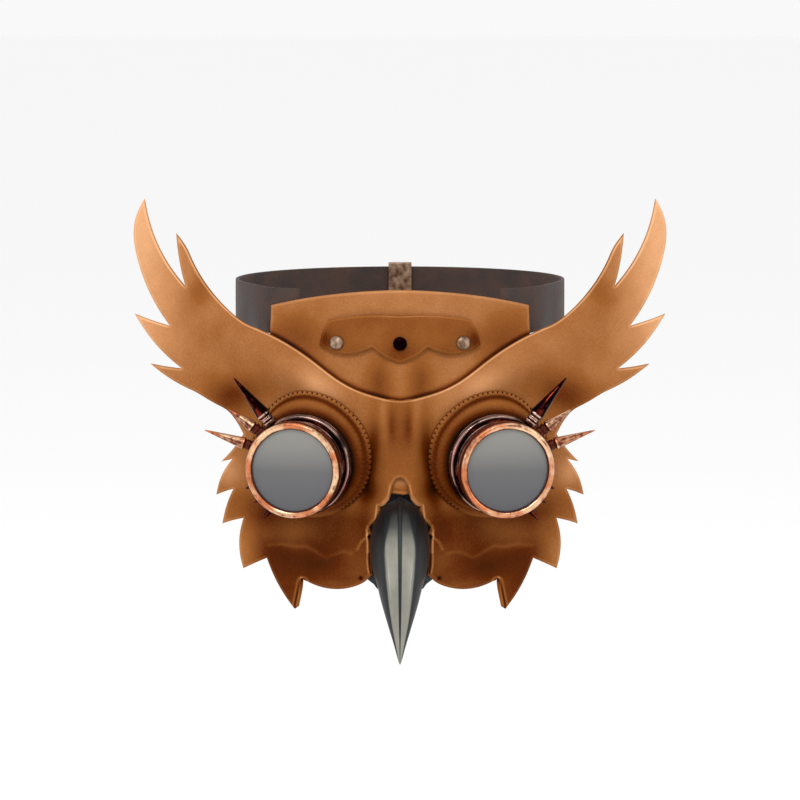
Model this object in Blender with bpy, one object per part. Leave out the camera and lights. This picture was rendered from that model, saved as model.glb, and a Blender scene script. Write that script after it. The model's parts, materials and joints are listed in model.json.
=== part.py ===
"""Owl mask of moulded leather with goggle eyepieces and a metal beak, upright as it is worn.

+Z is up and the mask looks along -Y, so +X is to the right as seen from the front, and so are the
names left and right. The origin lies on the inner face of the leather at the bridge of the nose.
Lengths are in metres and angles in degrees.
"""

import math
from collections import namedtuple

import bmesh
import bpy
from mathutils import Matrix, Vector
from mathutils.geometry import delaunay_2d_cdt

# Overall sizes of the leather face
HALF_WIDTH = 0.1525  # from the middle to the outermost edge of a horn
HORN_HEIGHT = 0.110  # from the bridge of the nose up to the tip of a horn
CHEEK_DROP = 0.120  # from the bridge of the nose down to the longest cheek feather
LEATHER = 0.0022  # wall of the face
GAP = 0.0003  # between two pieces that lie on each other
LAP_GAP = 0.0008  # between two moulded walls that lie behind each other
MESH_PITCH = 0.0082  # spacing of the faces that the leather is made of
EDGE_PITCH = 0.0062  # spacing of the points along a cut edge
HOLE_STEPS = 10  # faces round half a hole
SHARP_ANGLE = 38  # degrees between two faces from which their edge is drawn sharp

# How the leather is moulded to the head
WRAP_RADIUS = 0.058  # how tightly it starts to bend back from the middle
WRAP_SLOPE_HORN = 0.56  # how steeply it runs back at the horns
WRAP_SLOPE_CHEEK = 0.44  # the same at the cheeks
WRAP_SPAN = (-0.17 * CHEEK_DROP, 0.36 * HORN_HEIGHT)  # heights from the cheeks' slope to the horns'
FOREHEAD_LEAN = 0.12  # how steeply the forehead leans back in the end
FOREHEAD_EASE = 0.18  # how slowly it starts to, as a share of HORN_HEIGHT
NOSE_RISE = 0.0095
NOSE_HALF_WIDTH = 0.0135
NOSE_SPAN = (0.32 * HORN_HEIGHT, -0.2 * CHEEK_DROP)  # heights over which it rises on the way down
MUZZLE_RISE = 0.016
MUZZLE_HALF_WIDTH = 0.038
MUZZLE_SPAN = (0.08, 0.58)  # the same for the muzzle, as shares of CHEEK_DROP
BROW_RISE = 0.007
BROW_THICKNESS = 0.014
BROW_SLOPE = 0.5  # how steeply a brow runs up on its way out
BROW_START = (0.04, 0.21)  # where it sets in, as shares of HALF_WIDTH
BROW_END = (0.56, 0.82)  # where it runs out
CHEEK_RISE = 0.004
CHEEK_MIDDLE = (0.41, 0.71)  # shares of HALF_WIDTH and CHEEK_DROP
CHEEK_SPREAD = 0.175  # radius of a cheek as a share of both
HORN_ROOT = 0.68  # where a horn begins to flare forward, as a share of HALF_WIDTH
HORN_FLARE = 0.32
HORN_FLARE_SOFTNESS = 0.010
HORN_FLARE_SPAN = (-0.09 * HORN_HEIGHT, 0.27 * HORN_HEIGHT)  # heights over which the flare sets in

# Leather pieces on and behind the face
FOREHEAD_LEATHER = 0.0020
CREST_LEATHER = 0.0020
TONGUE_LEATHER = 0.0018
PATCH_LEATHER = 0.0018
PATCH_HEM = 0.0032  # stitched rim of an eye patch
RIVET_RADIUS = 0.0040
RIVET_HEIGHT = 0.0024

# Eyepieces
EYE_ACROSS = 0.0540  # from the middle to an eyepiece's base
EYE_DOWN = 0.0353  # from the bridge of the nose down to it
EYE_FORWARD = 0.0045  # from the bridge of the nose forward to it
EYE_YAW = 13.6  # outwards
EYE_PITCH = 2.5  # downwards
EYE_LENGTH = 0.026
BASE_RADIUS = 0.0283
BASE_LENGTH = 0.0070
BARREL_RADIUS = 0.0256
BORE_RADIUS = 0.0215
RING_RADIUS = 0.0270
RING_LENGTH = 0.0085
LENS_RADIUS = 0.0250
LENS_THICKNESS = 0.0030
LENS_LIP = 0.0021  # how far the ring laps over the lens
CHAMFER = 0.0008
EYE_SIDES = 32

# Beak
BEAK_LENGTH = 0.0877  # height from its root down to its tip
BEAK_REACH = 0.0482  # how far it stands forward of its root
BEAK_HALF_WIDTH = 0.0165
BEAK_WALL = 0.0016
BEAK_TOP_SHARE = 0.4317  # how far down the face its root lies, as a share of CHEEK_DROP
BEAK_TOP_DROP = BEAK_TOP_SHARE * CHEEK_DROP
BEAK_ROOT_FORWARD = 0.0158
PLATE_WALL = 0.0015  # plate behind the beak

# Head strap
STRAP_HALF_WIDTH = 0.096
STRAP_DEPTH = 0.192  # from the bridge of the nose to the back of the strap
STRAP_HEIGHT = 0.024
STRAP_WALL = 0.0020
STRAP_RISE = 0.0495  # height of its middle line over the bridge of the nose
STRAP_START = 0.060  # how far out its ends lie behind the forehead panel
BUCKLE_WIDTH = 0.014
BUCKLE_WALL = 0.0018
BUCKLE_PLAY = 0.0006

for old in list(bpy.data.objects):
    bpy.data.objects.remove(old)


def material(name, colour, roughness, metallic):
    """A plain finish: base colour, roughness and metallic value."""
    made = bpy.data.materials.new(name)
    made.use_nodes = True
    shader = made.node_tree.nodes["Principled BSDF"]
    shader.inputs["Base Color"].default_value = (*colour, 1.0)
    shader.inputs["Roughness"].default_value = roughness
    shader.inputs["Metallic"].default_value = metallic
    made.diffuse_color = (*colour, 1.0)
    return made


TAN_LEATHER = material("tan_leather", (0.38, 0.15, 0.045), 0.50, 0.0)
DARK_LEATHER = material("dark_leather", (0.030, 0.014, 0.009), 0.55, 0.0)
COPPER = material("antique_copper", (0.62, 0.32, 0.20), 0.30, 1.0)
DARK_COPPER = material("dark_copper", (0.10, 0.035, 0.030), 0.32, 1.0)
SILVER = material("antique_silver", (0.42, 0.36, 0.31), 0.35, 1.0)
GUNMETAL = material("gunmetal", (0.22, 0.22, 0.21), 0.33, 1.0)
LENS_GLASS = material("lens_glass", (0.24, 0.24, 0.24), 0.08, 0.0)


def new_object(name, mesh_in, finish, parent=None, place=None):
    """Turns a bmesh into a named object with one finish, its round faces shaded smooth."""
    bmesh.ops.remove_doubles(mesh_in, verts=mesh_in.verts, dist=1e-6)
    bmesh.ops.recalc_face_normals(mesh_in, faces=mesh_in.faces)
    data = bpy.data.meshes.new(name)
    mesh_in.to_mesh(data)
    mesh_in.free()
    data.shade_smooth()
    data.set_sharp_from_angle(angle=math.radians(SHARP_ANGLE))
    data.materials.append(finish)
    made = bpy.data.objects.new(name, data)
    bpy.context.scene.collection.objects.link(made)
    if parent is not None:
        made.parent = parent
    if place is not None:
        made.matrix_basis = place
    return made


# The form of the leather: the Y of its outer face over each point of the front view


def ease(start, end, value):
    """0 before start, 1 past end and a smooth step between them."""
    share = min(max((value - start) / (end - start), 0.0), 1.0)
    return share * share * (3 - 2 * share)


def face_y(x, z):
    """Y of the outer face: it wraps back round the head, with nose, muzzle, brows and cheeks raised."""
    x = abs(x)
    across = x / HALF_WIDTH
    up = z / HORN_HEIGHT
    down = -z / CHEEK_DROP
    horn_share = ease(*WRAP_SPAN, z)
    slope = WRAP_SLOPE_CHEEK + (WRAP_SLOPE_HORN - WRAP_SLOPE_CHEEK) * horn_share
    y = slope * WRAP_RADIUS * (math.hypot(1, x / WRAP_RADIUS) - 1)
    rise = max(up, 0)
    y += FOREHEAD_LEAN * HORN_HEIGHT * rise * rise / (rise + FOREHEAD_EASE)
    y -= NOSE_RISE * ease(*NOSE_SPAN, z) / (1 + (x / NOSE_HALF_WIDTH) ** 4)
    muzzle = math.exp(-((x / MUZZLE_HALF_WIDTH) ** 2))
    y -= MUZZLE_RISE * ease(*MUZZLE_SPAN, down) * muzzle
    above_brow = (z - BROW_SLOPE * x + BROW_THICKNESS) / BROW_THICKNESS
    along_brow = ease(*BROW_START, across) * (1 - ease(*BROW_END, across))
    y -= BROW_RISE * math.exp(-above_brow * above_brow) * along_brow
    from_cheek = math.hypot(across - CHEEK_MIDDLE[0], down - CHEEK_MIDDLE[1]) / CHEEK_SPREAD
    y -= CHEEK_RISE * math.exp(-from_cheek * from_cheek)
    past_horn_root = (across - HORN_ROOT) * HALF_WIDTH / HORN_FLARE_SOFTNESS
    flare = HORN_FLARE_SOFTNESS * math.log1p(math.exp(past_horn_root))
    y -= HORN_FLARE * flare * ease(*HORN_FLARE_SPAN, z)
    return y - LEATHER


def in_leather(x, z, depth, outer=face_y):
    """The point at this depth under the outer face, square to it."""
    reach = 1e-4
    slope_x = (outer(x + reach, z) - outer(x - reach, z)) / (2 * reach)
    slope_z = (outer(x, z + reach) - outer(x, z - reach)) / (2 * reach)
    outwards = Vector((slope_x, -1, slope_z)).normalized()
    return Vector((x, outer(x, z), z)) - depth * outwards


# Outlines: a corner gives the stretch that runs on from it to the next one: across is a share of
# HALF_WIDTH, up is a share of HORN_HEIGHT, or of CHEEK_DROP where it is negative, and bow is how far
# the stretch stands out of its chord, as a share of the chord. The order is clockwise from the top.
Corner = namedtuple("Corner", "across up bow")

PANEL_EDGE = (
    Corner(0.000, 0.003, -0.075),  # middle of the brow
    Corner(0.275, 0.152, 0.045),
    Corner(0.574, 0.375, -0.086),
    Corner(0.798, 0.760, 0.0),
    Corner(0.836, 0.825, 0.03),  # tip of the inner horn feather
    Corner(0.801, 0.552, -0.078),
    Corner(0.956, 1.000, 0.105),  # tip of the horn
    Corner(0.995, 0.766, 0.062),
    Corner(0.860, 0.349, -0.02),
    Corner(0.993, 0.408, 0.055),  # tip of the second outer feather
    Corner(0.814, 0.131, -0.02),
    Corner(0.932, 0.150, 0.05),  # tip of the third outer feather
    Corner(0.757, 0.010, 0.03),
    Corner(0.642, -0.065, -0.05),
    Corner(0.582, -0.178, -0.04),
    Corner(0.666, -0.313, 0.0),  # first cheek feather
    Corner(0.624, -0.299, 0.08),
    Corner(0.685, -0.472, -0.03),  # second
    Corner(0.621, -0.441, 0.045),
    Corner(0.663, -0.608, -0.03),  # third
    Corner(0.583, -0.576, 0.09),
    Corner(0.584, -0.816, -0.01),  # fourth
    Corner(0.495, -0.758, 0.05),
    Corner(0.392, -0.996, 0.2),  # fifth and longest
    Corner(0.380, -0.985, 0.03),
    Corner(0.363, -0.848, 0.115),
    Corner(0.177, -0.872, 0.12),  # corner of the mouth
    Corner(0.108, -0.800, -0.06),
    Corner(0.114, -0.696, 0.03),  # side of the beak opening
    Corner(0.117, -0.593, 0.10),
    Corner(0.102, -0.552, 0.0),
    Corner(0.085, -0.538, 0.06),
    Corner(0.080, -0.477, 0.0),
    Corner(0.062, -0.465, 0.05),
    Corner(0.038, -0.424, -0.16),  # foot of the arch over the tongue
    Corner(0.000, -0.343, 0.0),
)

FOREHEAD_EDGE = (
    Corner(0.000, 0.56, 0.03),
    Corner(0.486, 0.47, 0.0),
    Corner(0.486, 0.335, 0.0),
    Corner(0.275, 0.085, -0.06),
    Corner(0.000, -0.058, 0.0),
)

CREST_EDGE = (
    Corner(0.000, 0.430, 0.04),
    Corner(0.262, 0.405, 0.10),
    Corner(0.298, 0.275, 0.16),
    Corner(0.103, 0.270, 0.08),
    Corner(0.000, 0.191, 0.0),
)

TONGUE_EDGE = (
    Corner(0.000, -0.305, 0.15),
    Corner(0.050, -0.350, 0.05),
    Corner(0.053, -0.407, 0.0),
    Corner(0.000, -0.411, 0.0),
)

PLATE_EDGE = (
    Corner(0.000, -0.375, 0.05),
    Corner(0.080, -0.410, 0.10),
    Corner(0.132, -0.560, 0.05),
    Corner(0.148, -0.770, 0.10),
    Corner(0.134, -0.829, 0.0),
    Corner(0.085, -0.872, 0.03),
    Corner(0.000, -0.892, 0.0),
)


def front_point(across, up):
    """A point of the front view from its shares."""
    return Vector((across * HALF_WIDTH, up * (HORN_HEIGHT if up > 0 else CHEEK_DROP)))


def bowed(start, end, bow, pitch):
    """Points from start to just short of end, on a curve that stands out by bow to the left."""
    chord = end - start
    steps = max(1, round(chord.length / pitch))
    left = Vector((-chord.y, chord.x))
    shares = [i / steps for i in range(steps)]
    return [start + t * chord + 4 * bow * t * (1 - t) * left for t in shares]


def half_outline(corners, pitch):
    """The right half of an outline, from the top of the middle line to its foot."""
    ends = [front_point(corner.across, corner.up) for corner in corners]
    points = []
    for corner, start, end in zip(corners, ends, ends[1:]):
        points += bowed(start, end, corner.bow, pitch)
    return points + [ends[-1]]


def inside(point, loop):
    """Whether the point lies inside the loop."""
    found = False
    for a, b in zip(loop, loop[1:] + loop[:1]):
        if (a.y > point.y) != (b.y > point.y):
            if point.x < a.x + (point.y - a.y) / (b.y - a.y) * (b.x - a.x):
                found = not found
    return found


def cut_half(loop, holes, pitch):
    """Flat points and triangles of the right half of a sheet: the cut edges, and a grid inside them."""
    rings = [loop] + holes
    points = [point for ring in rings for point in ring]
    edges = []
    for ring in rings:
        first = len(edges)
        edges += [(first + i, first + (i + 1) % len(ring)) for i in range(len(ring))]
    low = min(point.y for point in loop)
    rows = math.ceil((max(point.y for point in loop) - low) / pitch)
    columns = math.ceil(max(point.x for point in loop) / pitch)
    clear = 0.62 * pitch  # the least distance between a point of the grid and any other point
    grid = []
    for row in range(rows):
        for column in range(columns):
            point = Vector((column * pitch + clear, low + row * pitch))
            if not inside(point, loop) or any(inside(point, hole) for hole in holes):
                continue
            if min((point - other).length for other in points) > clear:
                grid.append(point)
    flat, _, faces, _, _, _ = delaunay_2d_cdt(points + grid, edges, [], 1, 1e-7)
    kept = []
    for face in faces:
        middle = sum((flat[i] for i in face), Vector((0, 0))) / len(face)
        if not any(inside(middle, hole) for hole in holes):
            kept.append(face)
    return flat, kept


def middle_line(foot, top, hole, pitch):
    """Points up the middle line between foot and top, round the right side of a hole that lies on it."""
    if hole is None:
        return bowed(foot, top, 0, pitch)[1:]
    centre, across, up = hole
    angles = [math.pi * (i / HOLE_STEPS - 0.5) for i in range(HOLE_STEPS + 1)]
    around = [centre + Vector((across * math.cos(a), up * math.sin(a))) for a in angles]
    return bowed(foot, around[0], 0, pitch)[1:] + around + bowed(around[-1], top, 0, pitch)[1:]


def sheet(name, corners, depth, wall, finish, holes=(), middle=None, outer=face_y, pitch=MESH_PITCH):
    """A piece cut to an outline and moulded to the face, its outer side at this depth.

    Holes are loops in its right half, and middle is an oval hole on the middle line, as its centre
    and its two radii.
    """
    loop = half_outline(corners, min(EDGE_PITCH, 0.8 * pitch))
    loop += middle_line(loop[-1], loop[0], middle, pitch)
    flat, faces = cut_half(loop, list(holes), pitch)
    made = bmesh.new()
    for side in (1, -1):
        front = [made.verts.new(in_leather(side * p.x, p.y, depth, outer)) for p in flat]
        back = [made.verts.new(in_leather(side * p.x, p.y, depth + wall, outer)) for p in flat]
        borders = {}
        for a, b, c in faces:
            turned = (a, b, c) if side == 1 else (a, c, b)
            made.faces.new([front[i] for i in turned])
            made.faces.new([back[i] for i in reversed(turned)])
            for start, end in zip(turned, turned[1:] + turned[:1]):
                if (end, start) in borders:
                    del borders[end, start]
                else:
                    borders[start, end] = True
        for start, end in borders:
            if max(flat[start].x, flat[end].x) > 1e-6:
                made.faces.new((front[end], front[start], back[start], back[end]))
    return new_object(name, made, finish)


# The eyepieces' own frame: Z runs forward along the axis, X is outwards and Y is up or down
def eye_matrix(side):
    """Place of an eyepiece: its base rests on the plane Z = 0. Side is 1 on the right, -1 on the left."""
    yaw = math.radians(EYE_YAW)
    pitch = math.radians(EYE_PITCH)
    forward = Vector(
        (side * math.sin(yaw) * math.cos(pitch), -math.cos(yaw) * math.cos(pitch), -math.sin(pitch))
    )
    outwards = Vector((side * math.cos(yaw), math.sin(yaw), 0))
    third = forward.cross(outwards)
    turned = Matrix((outwards, third, forward)).transposed().to_4x4()
    return Matrix.Translation((side * EYE_ACROSS, -EYE_FORWARD, -EYE_DOWN)) @ turned


def eye_empty(name, side):
    """The empty that an eyepiece's pieces hang on."""
    made = bpy.data.objects.new(name, None)
    bpy.context.scene.collection.objects.link(made)
    made.matrix_world = eye_matrix(side)
    return made


def turned(profile, sides):
    """A bmesh spun round Z from (radius, height) points, closed on itself or at the axis."""
    made = bmesh.new()
    points = [made.verts.new((radius, 0, height)) for radius, height in profile]
    on_axis = profile[0][0] == 0
    ends = points[1:] if on_axis else points[1:] + points[:1]
    edges = [made.edges.new(pair) for pair in zip(points, ends)]
    bmesh.ops.spin(
        made,
        geom=points + edges,
        cent=(0, 0, 0),
        axis=(0, 0, 1),
        angle=2 * math.pi,
        steps=sides,
        use_merge=True,
    )
    return made


# Face, forehead, crest, tongue and the plate behind the beak
def eye_hole():
    """Hole of the face panel behind an eyepiece, as seen from the front."""
    radius = BORE_RADIUS + LEATHER
    angles = [2 * math.pi * i / EYE_SIDES for i in range(EYE_SIDES)]
    return [Vector((EYE_ACROSS + radius * math.cos(a), -EYE_DOWN + radius * math.sin(a))) for a in angles]


def plate_y(x, z):
    """The plate's form: it follows the cheeks beside the beak, and runs level across behind it."""
    return face_y(max(abs(x), BEAK_HALF_WIDTH), z)


# The plate's opening into the beak's hollow: its centre and its two radii
PLATE_HOLE = (
    Vector((0, -BEAK_TOP_DROP - 0.29 * BEAK_LENGTH)),
    0.72 * BEAK_HALF_WIDTH,
    0.19 * BEAK_LENGTH,
)


sheet("face_panel", PANEL_EDGE, 0, LEATHER, TAN_LEATHER, [eye_hole()])
behind_face = LEATHER + LAP_GAP
sheet("forehead_panel", FOREHEAD_EDGE, behind_face, FOREHEAD_LEATHER, TAN_LEATHER)
crest_depth = behind_face - LAP_GAP - CREST_LEATHER
sheet("crest", CREST_EDGE, crest_depth, CREST_LEATHER, TAN_LEATHER)
sheet("beak_tongue", TONGUE_EDGE, behind_face, TONGUE_LEATHER, TAN_LEATHER, pitch=0.5 * MESH_PITCH)
sheet(
    "beak_plate",
    PLATE_EDGE,
    behind_face,
    PLATE_WALL,
    GUNMETAL,
    middle=PLATE_HOLE,
    outer=plate_y,
    pitch=0.6 * MESH_PITCH,
)


# Rivets of the crest
Rivet = namedtuple("Rivet", "name across finish")
RIVETS = (
    Rivet("crest_rivet_left", -0.233, SILVER),
    Rivet("crest_rivet_middle", 0.0, DARK_COPPER),
    Rivet("crest_rivet_right", 0.233, SILVER),
)
RIVET_UP = 0.286  # their height as a share of HORN_HEIGHT
RIVET_SIDES = 14
RIVET_STEPS = 4


def rivet_head(rivet):
    """A domed rivet head on the crest, square to the leather."""
    x, z = front_point(rivet.across, RIVET_UP)
    foot = in_leather(x, z, crest_depth - GAP)
    outwards = foot - in_leather(x, z, crest_depth)
    rim = 0.25 * RIVET_HEIGHT
    profile = [(0, 0), (RIVET_RADIUS, 0), (RIVET_RADIUS, rim)]
    for i in range(1, RIVET_STEPS):
        angle = math.pi / 2 * i / RIVET_STEPS
        profile.append((RIVET_RADIUS * math.cos(angle), rim + (RIVET_HEIGHT - rim) * math.sin(angle)))
    profile.append((0, RIVET_HEIGHT))
    place = Matrix.Translation(foot) @ outwards.to_track_quat("Z", "Y").to_matrix().to_4x4()
    new_object(rivet.name, turned(profile, RIVET_SIDES), rivet.finish, place=place)


for rivet in RIVETS:
    rivet_head(rivet)


# Eye patches: a stitched hem on the face, and a dome up to the eyepiece's base
PATCH_SPANS = {"inner": 0.0385, "outer": 0.0345, "upper": 0.0400, "lower": 0.0340}
PATCH_SIDES = 40
DOME_STEPS = 4
DOME_LEAN = 0.15  # the dome's first handle leans in by this share of its width
DOME_RISE = 0.30  # and up by this share of its height
DOME_FLAT = 0.60  # its second handle lies level, this share of its width long
SETTLING_ROUNDS = 12  # rounds in which a height over the curved face settles
SEAT_RADIUS = BASE_RADIUS - 0.0012


def patch_rim(angle):
    """Radius of the patch's outline round the eyepiece's axis, from its four spans."""
    level = PATCH_SPANS["outer" if math.cos(angle) > 0 else "inner"]
    upright = PATCH_SPANS["upper" if math.sin(angle) > 0 else "lower"]
    return 1 / math.hypot(math.cos(angle) / level, math.sin(angle) / upright)


def height_of_face(frame, radius, angle):
    """Height of the face's outer side in the eyepiece's frame, at this radius and angle."""
    height = 0.0
    for _ in range(SETTLING_ROUNDS):
        point = frame @ Vector((radius * math.cos(angle), radius * math.sin(angle), height))
        height -= face_y(point.x, point.z) - point.y
    return height


def dome_profile(frame, angle):
    """(radius, height) points of the patch's outer side, from its rim in to the hole."""
    over_face = LAP_GAP + PATCH_LEATHER
    rim = patch_rim(angle)
    foot = rim - PATCH_HEM
    points = [(rim, height_of_face(frame, rim, angle) + over_face)]
    start = Vector((foot, height_of_face(frame, foot, angle) + over_face))
    end = Vector((SEAT_RADIUS, -GAP))
    width = foot - SEAT_RADIUS
    first = start + Vector((-DOME_LEAN * width, DOME_RISE * (end.y - start.y)))
    second = end + Vector((DOME_FLAT * width, 0))
    for i in range(DOME_STEPS + 1):
        t = i / DOME_STEPS
        point = (1 - t) ** 3 * start + 3 * t * (1 - t) ** 2 * first
        point += 3 * t * t * (1 - t) * second + t**3 * end
        points.append(tuple(point))
    points.append((BORE_RADIUS + GAP, -GAP))
    return points


def under_side(points, wall):
    """The same profile one wall further back, square to it."""
    moved = []
    for i, (radius, height) in enumerate(points):
        before = points[max(i - 1, 0)]
        after = points[min(i + 1, len(points) - 1)]
        along = Vector((after[0] - before[0], after[1] - before[1])).normalized()
        moved.append((radius - wall * along.y, height + wall * along.x))
    return moved


def eye_patch(name, side):
    """The patch as a closed ring of rectangles of leather round the eyepiece's axis."""
    frame = eye_matrix(1)
    made = bmesh.new()
    rings = []
    for step in range(PATCH_SIDES):
        angle = 2 * math.pi * step / PATCH_SIDES
        outer = dome_profile(frame, angle)
        section = outer + under_side(outer, PATCH_LEATHER)[::-1]
        ring = []
        for radius, height in section:
            point = frame @ Vector((radius * math.cos(angle), radius * math.sin(angle), height))
            ring.append(made.verts.new((side * point.x, point.y, point.z)))
        rings.append(ring)
    for ring, following in zip(rings, rings[1:] + rings[:1]):
        count = len(ring)
        for i in range(count):
            j = (i + 1) % count
            made.faces.new((ring[i], ring[j], following[j], following[i]))
    new_object(name, made, TAN_LEATHER)


# Eyepieces: barrel with its base, retaining ring, lens, spikes and studs
RING_START = EYE_LENGTH - RING_LENGTH
LENS_FRONT = EYE_LENGTH - LENS_LIP - GAP
LENS_BACK = LENS_FRONT - LENS_THICKNESS
BARREL_FRONT = LENS_BACK - GAP
THREAD_RADIUS = LENS_RADIUS - GAP
APERTURE_RADIUS = LENS_RADIUS - LENS_LIP

BARREL_PROFILE = (
    (BORE_RADIUS, 0),
    (BASE_RADIUS - CHAMFER, 0),
    (BASE_RADIUS, CHAMFER),
    (BASE_RADIUS, BASE_LENGTH - 2 * CHAMFER),
    (BASE_RADIUS - CHAMFER, BASE_LENGTH),
    (BARREL_RADIUS, BASE_LENGTH + CHAMFER),
    (BARREL_RADIUS - CHAMFER, BASE_LENGTH + 3 * CHAMFER),
    (BARREL_RADIUS, BASE_LENGTH + 5 * CHAMFER),
    (BARREL_RADIUS, RING_START - GAP),
    (THREAD_RADIUS, RING_START - GAP),
    (THREAD_RADIUS, BARREL_FRONT),
    (BORE_RADIUS, BARREL_FRONT),
)

RING_PROFILE = (
    (LENS_RADIUS + GAP, RING_START),
    (RING_RADIUS, RING_START),
    (RING_RADIUS, EYE_LENGTH - 2 * CHAMFER),
    (RING_RADIUS - CHAMFER, EYE_LENGTH - 0.5 * CHAMFER),
    (0.5 * (RING_RADIUS + APERTURE_RADIUS), EYE_LENGTH),
    (APERTURE_RADIUS, EYE_LENGTH - CHAMFER),
    (APERTURE_RADIUS, LENS_FRONT + GAP),
    (LENS_RADIUS + GAP, LENS_FRONT + GAP),
)

LENS_PROFILE = ((0, LENS_BACK), (LENS_RADIUS, LENS_BACK), (LENS_RADIUS, LENS_FRONT), (0, LENS_FRONT))

# A spike: bearing is its angle over the outward direction, reach its length from the base's side
Spike = namedtuple("Spike", "name bearing reach radius finish")
SPIKES = (
    Spike("spike_upper", 53.0, 0.0325, 0.0043, DARK_COPPER),
    Spike("spike_middle", 37.0, 0.0225, 0.0036, COPPER),
    Spike("spike_lower", 19.0, 0.0290, 0.0035, COPPER),
)
STUDS = (
    Spike("stud_upper", -24.0, 0.0068, 0.0027, DARK_COPPER),
    Spike("stud_middle", -39.0, 0.0068, 0.0027, DARK_COPPER),
    Spike("stud_lower", -54.0, 0.0105, 0.0030, DARK_COPPER),
)
SPIKE_TILT = 9.0  # forward of square to the axis
SPIKE_SIDES = 12
STUD_SIDES = 8
COLLAR_HEIGHT = 0.0058  # of the ringed collar under a cone


def spike_profile(spike):
    """A turned spike from shares of its foot's radius and of the collar: collar, flared foot and cone."""
    foot = spike.radius
    neck = 0.70 * foot
    ringed = 0.95 * foot
    collar = COLLAR_HEIGHT
    return (
        (0, 0),
        (ringed, 0),
        (ringed, 0.25 * collar),
        (neck, 0.35 * collar),
        (0.85 * foot, 0.50 * collar),
        (0.85 * foot, 0.70 * collar),
        (neck, 0.80 * collar),
        (foot, collar),
        (0.96 * foot, 1.15 * collar),
        (0.08 * foot, 0.99 * spike.reach),
        (0, spike.reach),
    )


def stud_profile(stud):
    """A short pointed stud from shares of its radius and reach."""
    foot = stud.radius
    return ((0, 0), (foot, 0), (foot, 0.15 * stud.reach), (0.1 * foot, 0.98 * stud.reach), (0, stud.reach))


def on_base(side, spike):
    """Place of a spike in the eyepiece's frame: its foot on the base's side, just clear of it."""
    tilt = math.radians(SPIKE_TILT)
    foot_radius = BASE_RADIUS + GAP + spike.radius * math.sin(tilt)
    bearing = side * math.radians(spike.bearing)  # Y points down in the left eyepiece's frame
    outwards = Vector((math.cos(bearing), math.sin(bearing), 0))
    level = max(0.5 * BASE_LENGTH, spike.radius + 2 * GAP)
    foot = foot_radius * outwards + Vector((0, 0, level))
    along = math.cos(tilt) * outwards + Vector((0, 0, math.sin(tilt)))
    return Matrix.Translation(foot) @ along.to_track_quat("Z", "Y").to_matrix().to_4x4()


for side, side_name in ((-1, "left"), (1, "right")):
    axis = eye_empty(f"eye_axis_{side_name}", side)
    eye_patch(f"eye_patch_{side_name}", side)
    new_object(f"eye_barrel_{side_name}", turned(BARREL_PROFILE, EYE_SIDES), DARK_COPPER, axis)
    new_object(f"eye_ring_{side_name}", turned(RING_PROFILE, EYE_SIDES), COPPER, axis)
    new_object(f"eye_lens_{side_name}", turned(LENS_PROFILE, EYE_SIDES), LENS_GLASS, axis)
    for spike in SPIKES:
        shape = turned(spike_profile(spike), SPIKE_SIDES)
        new_object(f"{spike.name}_{side_name}", shape, spike.finish, axis, on_base(side, spike))
    for stud in STUDS:
        shape = turned(stud_profile(stud), STUD_SIDES)
        new_object(f"{stud.name}_{side_name}", shape, stud.finish, axis, on_base(side, stud))


# Beak. A station is one section: how far the keel and the under side have come forward, as shares of
# BEAK_REACH, and down, as shares of BEAK_LENGTH, and its width as a share of BEAK_HALF_WIDTH.
Station = namedtuple("Station", "keel_forward keel_down under_forward under_down width")
BEAK_STATIONS = (
    Station(0.000, 0.000, 0.000, 0.525, 1.000),
    Station(0.210, 0.006, 0.120, 0.555, 1.000),
    Station(0.440, 0.060, 0.250, 0.590, 0.970),
    Station(0.620, 0.140, 0.375, 0.618, 0.880),
    Station(0.755, 0.245, 0.485, 0.652, 0.775),
    Station(0.860, 0.360, 0.585, 0.692, 0.690),
    Station(0.935, 0.485, 0.675, 0.738, 0.580),
    Station(0.980, 0.610, 0.760, 0.795, 0.445),
    Station(1.000, 0.735, 0.840, 0.857, 0.305),
    Station(0.998, 0.860, 0.905, 0.928, 0.155),
)
BEAK_TIP = (0.975, 1.0)

# Half a section of the beak: along is the share of the way from keel to under side, out of the width
SectionPoint = namedtuple("SectionPoint", "along out")
BEAK_SECTION = (
    SectionPoint(0.00, 0.08),
    SectionPoint(0.16, 0.51),
    SectionPoint(0.34, 0.79),
    SectionPoint(0.60, 1.00),
    SectionPoint(0.82, 0.86),
    SectionPoint(0.96, 0.46),
)
HOLLOW_STATIONS = 6  # how many stations the hollow reaches through
KEEL_INSET = 1.5  # walls of metal behind the keel, where the two sides meet at a slant


def beak_point(forward, down):
    """A point of the beak's middle plane from its shares."""
    y = -BEAK_ROOT_FORWARD - forward * BEAK_REACH
    return Vector((0, y, -BEAK_TOP_DROP - down * BEAK_LENGTH))


def beak_ring(station, inset):
    """One closed ring of the beak, drawn in by inset."""
    keel = beak_point(station.keel_forward, station.keel_down)
    under = beak_point(station.under_forward, station.under_down)
    depth = (under - keel).length
    inwards = (under - keel) / depth
    keel = keel + KEEL_INSET * inset * inwards
    under = under - inset * inwards
    half_width = station.width * BEAK_HALF_WIDTH - inset
    half = []
    for along, out in BEAK_SECTION:
        half.append(keel.lerp(under, along) + Vector((out * half_width, 0, 0)))
    mirrored = [Vector((-point.x, point.y, point.z)) for point in reversed(half)]
    return [keel] + half + [under] + mirrored


def join_rings(made, first, second):
    """Quadrilaterals between two rings of as many points."""
    count = len(first)
    for i in range(count):
        j = (i + 1) % count
        made.faces.new((first[i], first[j], second[j], second[i]))


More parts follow.
